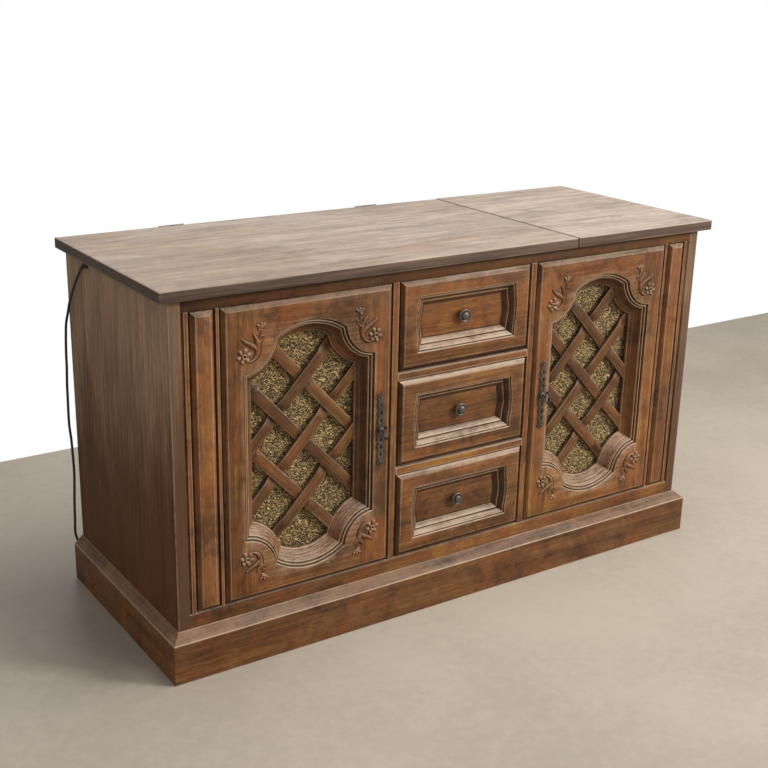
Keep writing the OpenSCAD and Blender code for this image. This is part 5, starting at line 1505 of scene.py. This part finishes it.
def make_control_plate():
    """Black plate with holes for the window, the knobs and the buttons"""
    low, high = corners("control_panel")
    x, y, _ = centre_of("control_panel")
    holes = [at_height(rectangle(*WINDOW_HOLE), low.z, 0, DIAL_Y)]
    holes += [at_height(ring(SHANK_HOLE, 16), low.z, place, KNOB_Y) for place, _ in KNOB_RINGS]
    holes += [at_height(rectangle(*BUTTON_HOLE), low.z, place, KNOB_Y) for place in BUTTONS]
    bm = new_mesh()
    plate(bm, at_height(rectangle((high.x - low.x) / 2, (high.y - low.y) / 2), low.z, x, y), holes,
          (0, 0, high.z - low.z))
    publish(bm, "control_plate", "cabinet", "black_plate", "control_panel", smooth=30,
            bevel=(0.0005, 2))

    bm = new_mesh()
    for x, radius in KNOB_RINGS:
        for i in range(11):
            mark = box(bm, (0, -0.0004, 0), (0.0022 if i % 5 else 0.0034, 0.0004, 0.00018))
            place = (Matrix.Translation((x, KNOB_Y, high.z))
                     @ Matrix.Rotation(math.radians(-60 + 30 * i), 4, "Z")
                     @ Matrix.Translation((radius, 0, 0)))
            bmesh.ops.transform(bm, matrix=place, verts=mark)
    for y in SCALE_Y:
        box(bm, (-SCALE_HALF, y - MARK, SCALE_Z), (SCALE_HALF, y + MARK, SCALE_Z + MARK))
        for i in range(41):
            x = SCALE_HALF * (i / 20 - 1)
            box(bm, (x - 0.00018, y, SCALE_Z),
                (x + 0.00018, y + (SHORT if i % 5 else LONG), SCALE_Z + MARK))
    publish(bm, "scale_marks", "cabinet", "scale_ink", smooth=0)


def make_dial():
    """Figures of the scale, window, bezel and pointer"""
    for row, (y, figures) in enumerate(FIGURES):
        for i, figure in enumerate(figures):
            letters = bpy.data.curves.new("figure", "FONT")
            letters.body, letters.size, letters.extrude = figure, FIGURE_SIZE, 0.0001
            letters.align_x = "CENTER"
            made = linked("figure", letters)
            mesh = bpy.data.meshes.new_from_object(made)
            bpy.data.objects.remove(made)
            mesh.transform(Matrix.Translation((FIGURE_START + FIGURE_STEP * i, y, FIGURE_Z)))
            mesh.name = "dial_figure_%d_%d" % (row, i)
            mesh.materials.clear()
            mesh.materials.append(Paint.made["scale_ink"])
            piece = linked(mesh.name, mesh)
            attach(piece, "cabinet")
    block("dial_cover", "dial_glass", "cabinet", "dial_window", 0.0007, 0, 2)
    bm = new_mesh()
    plate(bm, at_height(rectangle(*BEZEL_EDGE), BEZEL_Z, 0, DIAL_Y),
          [at_height(rectangle(*BEZEL_HOLE), BEZEL_Z, 0, DIAL_Y)], (0, 0, 0.0024))
    publish(bm, "dial_bezel", "cabinet", "bright_metal", bevel=(0.0006, 2))
    block("tuning_pointer", "dial_pointer", "pointer", "pointer_red", 0.0004, 0, 1,
          lowest=POINTER_FOOT)


def make_tuning_knob(body):
    """Rippled knob with a shank and a mark on its top"""
    node = body + "_knob"
    low, high = corners(node)
    x, r, top, foot = (low.x + high.x) / 2, (high.x - low.x) / 2, high.z, KNOB_FOOT
    bm = new_mesh()
    rows = []
    for inset, height, ripple, wear in (
            (0.0004, foot, 0, 0), (0, foot + 0.0012, 0, 0.3), (0.0006, foot + 0.0022, 0, 0),
            (0.0006, foot + 0.003, 0.0006, 0.1), (0.0014, top - 0.0036, 0.0006, 0.2),
            (0.0026, top - 0.0012, 0, 0.8), (0.0040, top - 0.0002, 0, 0.8), (0.0056, top, 0, 0),
            (0.0064, top - 0.0008, 0, -0.4)):
        points = [p * (r - inset - (ripple if i % 2 else 0)) for i, p in enumerate(ring(1, 96))]
        rows.append(loop(bm, at_height(points, height, x, KNOB_Y), wear))
    bridge(bm, rows)
    fill(bm, rows[0])
    fill(bm, rows[-1])
    turned(bm, ((0, 636), (3, 636), (3, 653.3), (0, 653.3)), (x, KNOB_Y, 0), 20, "Z")
    mark = box(bm, (x - 0.0007, KNOB_Y + r * 0.25, top - 0.0009),
               (x + 0.0007, KNOB_Y + r * 0.62, top - 0.0001))
    set_wear_and_shade(bm, mark, -1)
    publish(bm, body + "_turning_knob", body, "silver_plastic", node, smooth=40)


def make_key_cap(body):
    """Push button with rounded edges"""
    block(body + "_key_cap", body + "_button", body, "silver_plastic", 0.0012, 0.7, 3)


# ---------------------------------------------------------------- operators


def settings():
    scene = bpy.context.scene
    return scene.cabinet_sizes, scene.cabinet_colours


class CABINET_OT_stage(bpy.types.Operator):
    """Make the camera, floor, lamps and surrounding"""

    bl_idname = "cabinet.stage"
    bl_label = "Stage"

    def execute(self, context):
        make_camera()
        make_stage()
        return {"FINISHED"}


class CABINET_OT_finishes(bpy.types.Operator):
    """Make the wood, cloth, metal and plastic finishes and put them on the boards"""

    bl_idname = "cabinet.finishes"
    bl_label = "Finishes"

    def execute(self, context):
        make_finishes(settings()[1])
        dress_nodes()
        return {"FINISHED"}


class CABINET_OT_lead(bpy.types.Operator):
    """Make the mains lead with its coil, strain relief and plug"""

    bl_idname = "cabinet.lead"
    bl_label = "Mains lead"

    def execute(self, context):
        make_cord(settings()[0])
        return {"FINISHED"}


class CABINET_OT_doors(bpy.types.Operator):
    """Make the doors with their moulding, carving, lattice and cloth"""

    bl_idname = "cabinet.doors"
    bl_label = "Doors"

    def execute(self, context):
        for side in SIDES:
            for make in (make_door, make_carving, make_lattice):
                make(side, settings()[0])
            make_cloth(side)
        return {"FINISHED"}


class CABINET_OT_pulls(bpy.types.Operator):
    """Make the pierced pulls and their keys"""

    bl_idname = "cabinet.pulls"
    bl_label = "Pulls and keys"

    def execute(self, context):
        for side in SIDES:
            make_pull(side)
            make_key(side)
        return {"FINISHED"}


class CABINET_OT_drawers(bpy.types.Operator):
    """Make the drawer fronts and their round knobs"""

    bl_idname = "cabinet.drawers"
    bl_label = "Drawers"

    def execute(self, context):
        for level in ("top", "middle", "bottom"):
            make_drawer_front(level, settings()[0])
            make_knob(level)
        return {"FINISHED"}


class CABINET_OT_case(bpy.types.Operator):
    """Make the front frame, pilasters, base moulding, top boards and vent screens"""

    bl_idname = "cabinet.case"
    bl_label = "Case"

    def execute(self, context):
        for make in (make_front_frame, make_base, make_top, make_vent_screens):
            make()
        return {"FINISHED"}


class CABINET_OT_loudspeakers(bpy.types.Operator):
    """Make the loudspeakers behind the doors"""

    bl_idname = "cabinet.loudspeakers"
    bl_label = "Loudspeakers"

    def execute(self, context):
        make_loudspeakers()
        return {"FINISHED"}


class CABINET_OT_changer(bpy.types.Operator):
    """Make the record changer's plate, platter, mat, spindle, arm and lever"""

    bl_idname = "cabinet.changer"
    bl_label = "Record changer"

    def execute(self, context):
        for make in (make_changer, make_platter, make_tonearm, make_lever):
            make()
        return {"FINISHED"}


class CABINET_OT_tuner(bpy.types.Operator):
    """Make the tuner's panel, dial, knobs and buttons"""

    bl_idname = "cabinet.tuner"
    bl_label = "Tuner"

    def execute(self, context):
        make_control_plate()
        make_dial()
        for body in ("volume", "tone", "tuning"):
            make_tuning_knob(body)
        for body in ("phono", "am", "fm"):
            make_key_cap(body)
        return {"FINISHED"}


STEPS = (CABINET_OT_stage, CABINET_OT_finishes, CABINET_OT_lead, CABINET_OT_doors,
         CABINET_OT_pulls, CABINET_OT_drawers, CABINET_OT_case, CABINET_OT_loudspeakers,
         CABINET_OT_changer, CABINET_OT_tuner)


class CABINET_PT_panel(bpy.types.Panel):
    """Sizes, colours and steps of the cabinet"""

    bl_idname = "CABINET_PT_panel"
    bl_label = "Gramophone cabinet"
    bl_space_type = "VIEW_3D"
    bl_region_type = "UI"
    bl_category = "Cabinet"

    def draw(self, context):
        for group in settings():
            for name in group.__annotations__:
                self.layout.prop(group, name)
        for step in STEPS:
            self.layout.operator(step.bl_idname)


CLASSES = (CabinetSizes, CabinetColours) + STEPS + (CABINET_PT_panel,)


def register():
    for cls in CLASSES:
        bpy.utils.register_class(cls)
    bpy.types.Scene.cabinet_sizes = bpy.props.PointerProperty(type=CabinetSizes)
    bpy.types.Scene.cabinet_colours = bpy.props.PointerProperty(type=CabinetColours)


def unregister():
    del bpy.types.Scene.cabinet_sizes
    del bpy.types.Scene.cabinet_colours
    for cls in reversed(CLASSES):
        bpy.utils.unregister_class(cls)


def main():
    register()
    for step in STEPS:
        group, name = step.bl_idname.split(".")
        getattr(getattr(bpy.ops, group), name)()


if __name__ == "__main__":
    main()
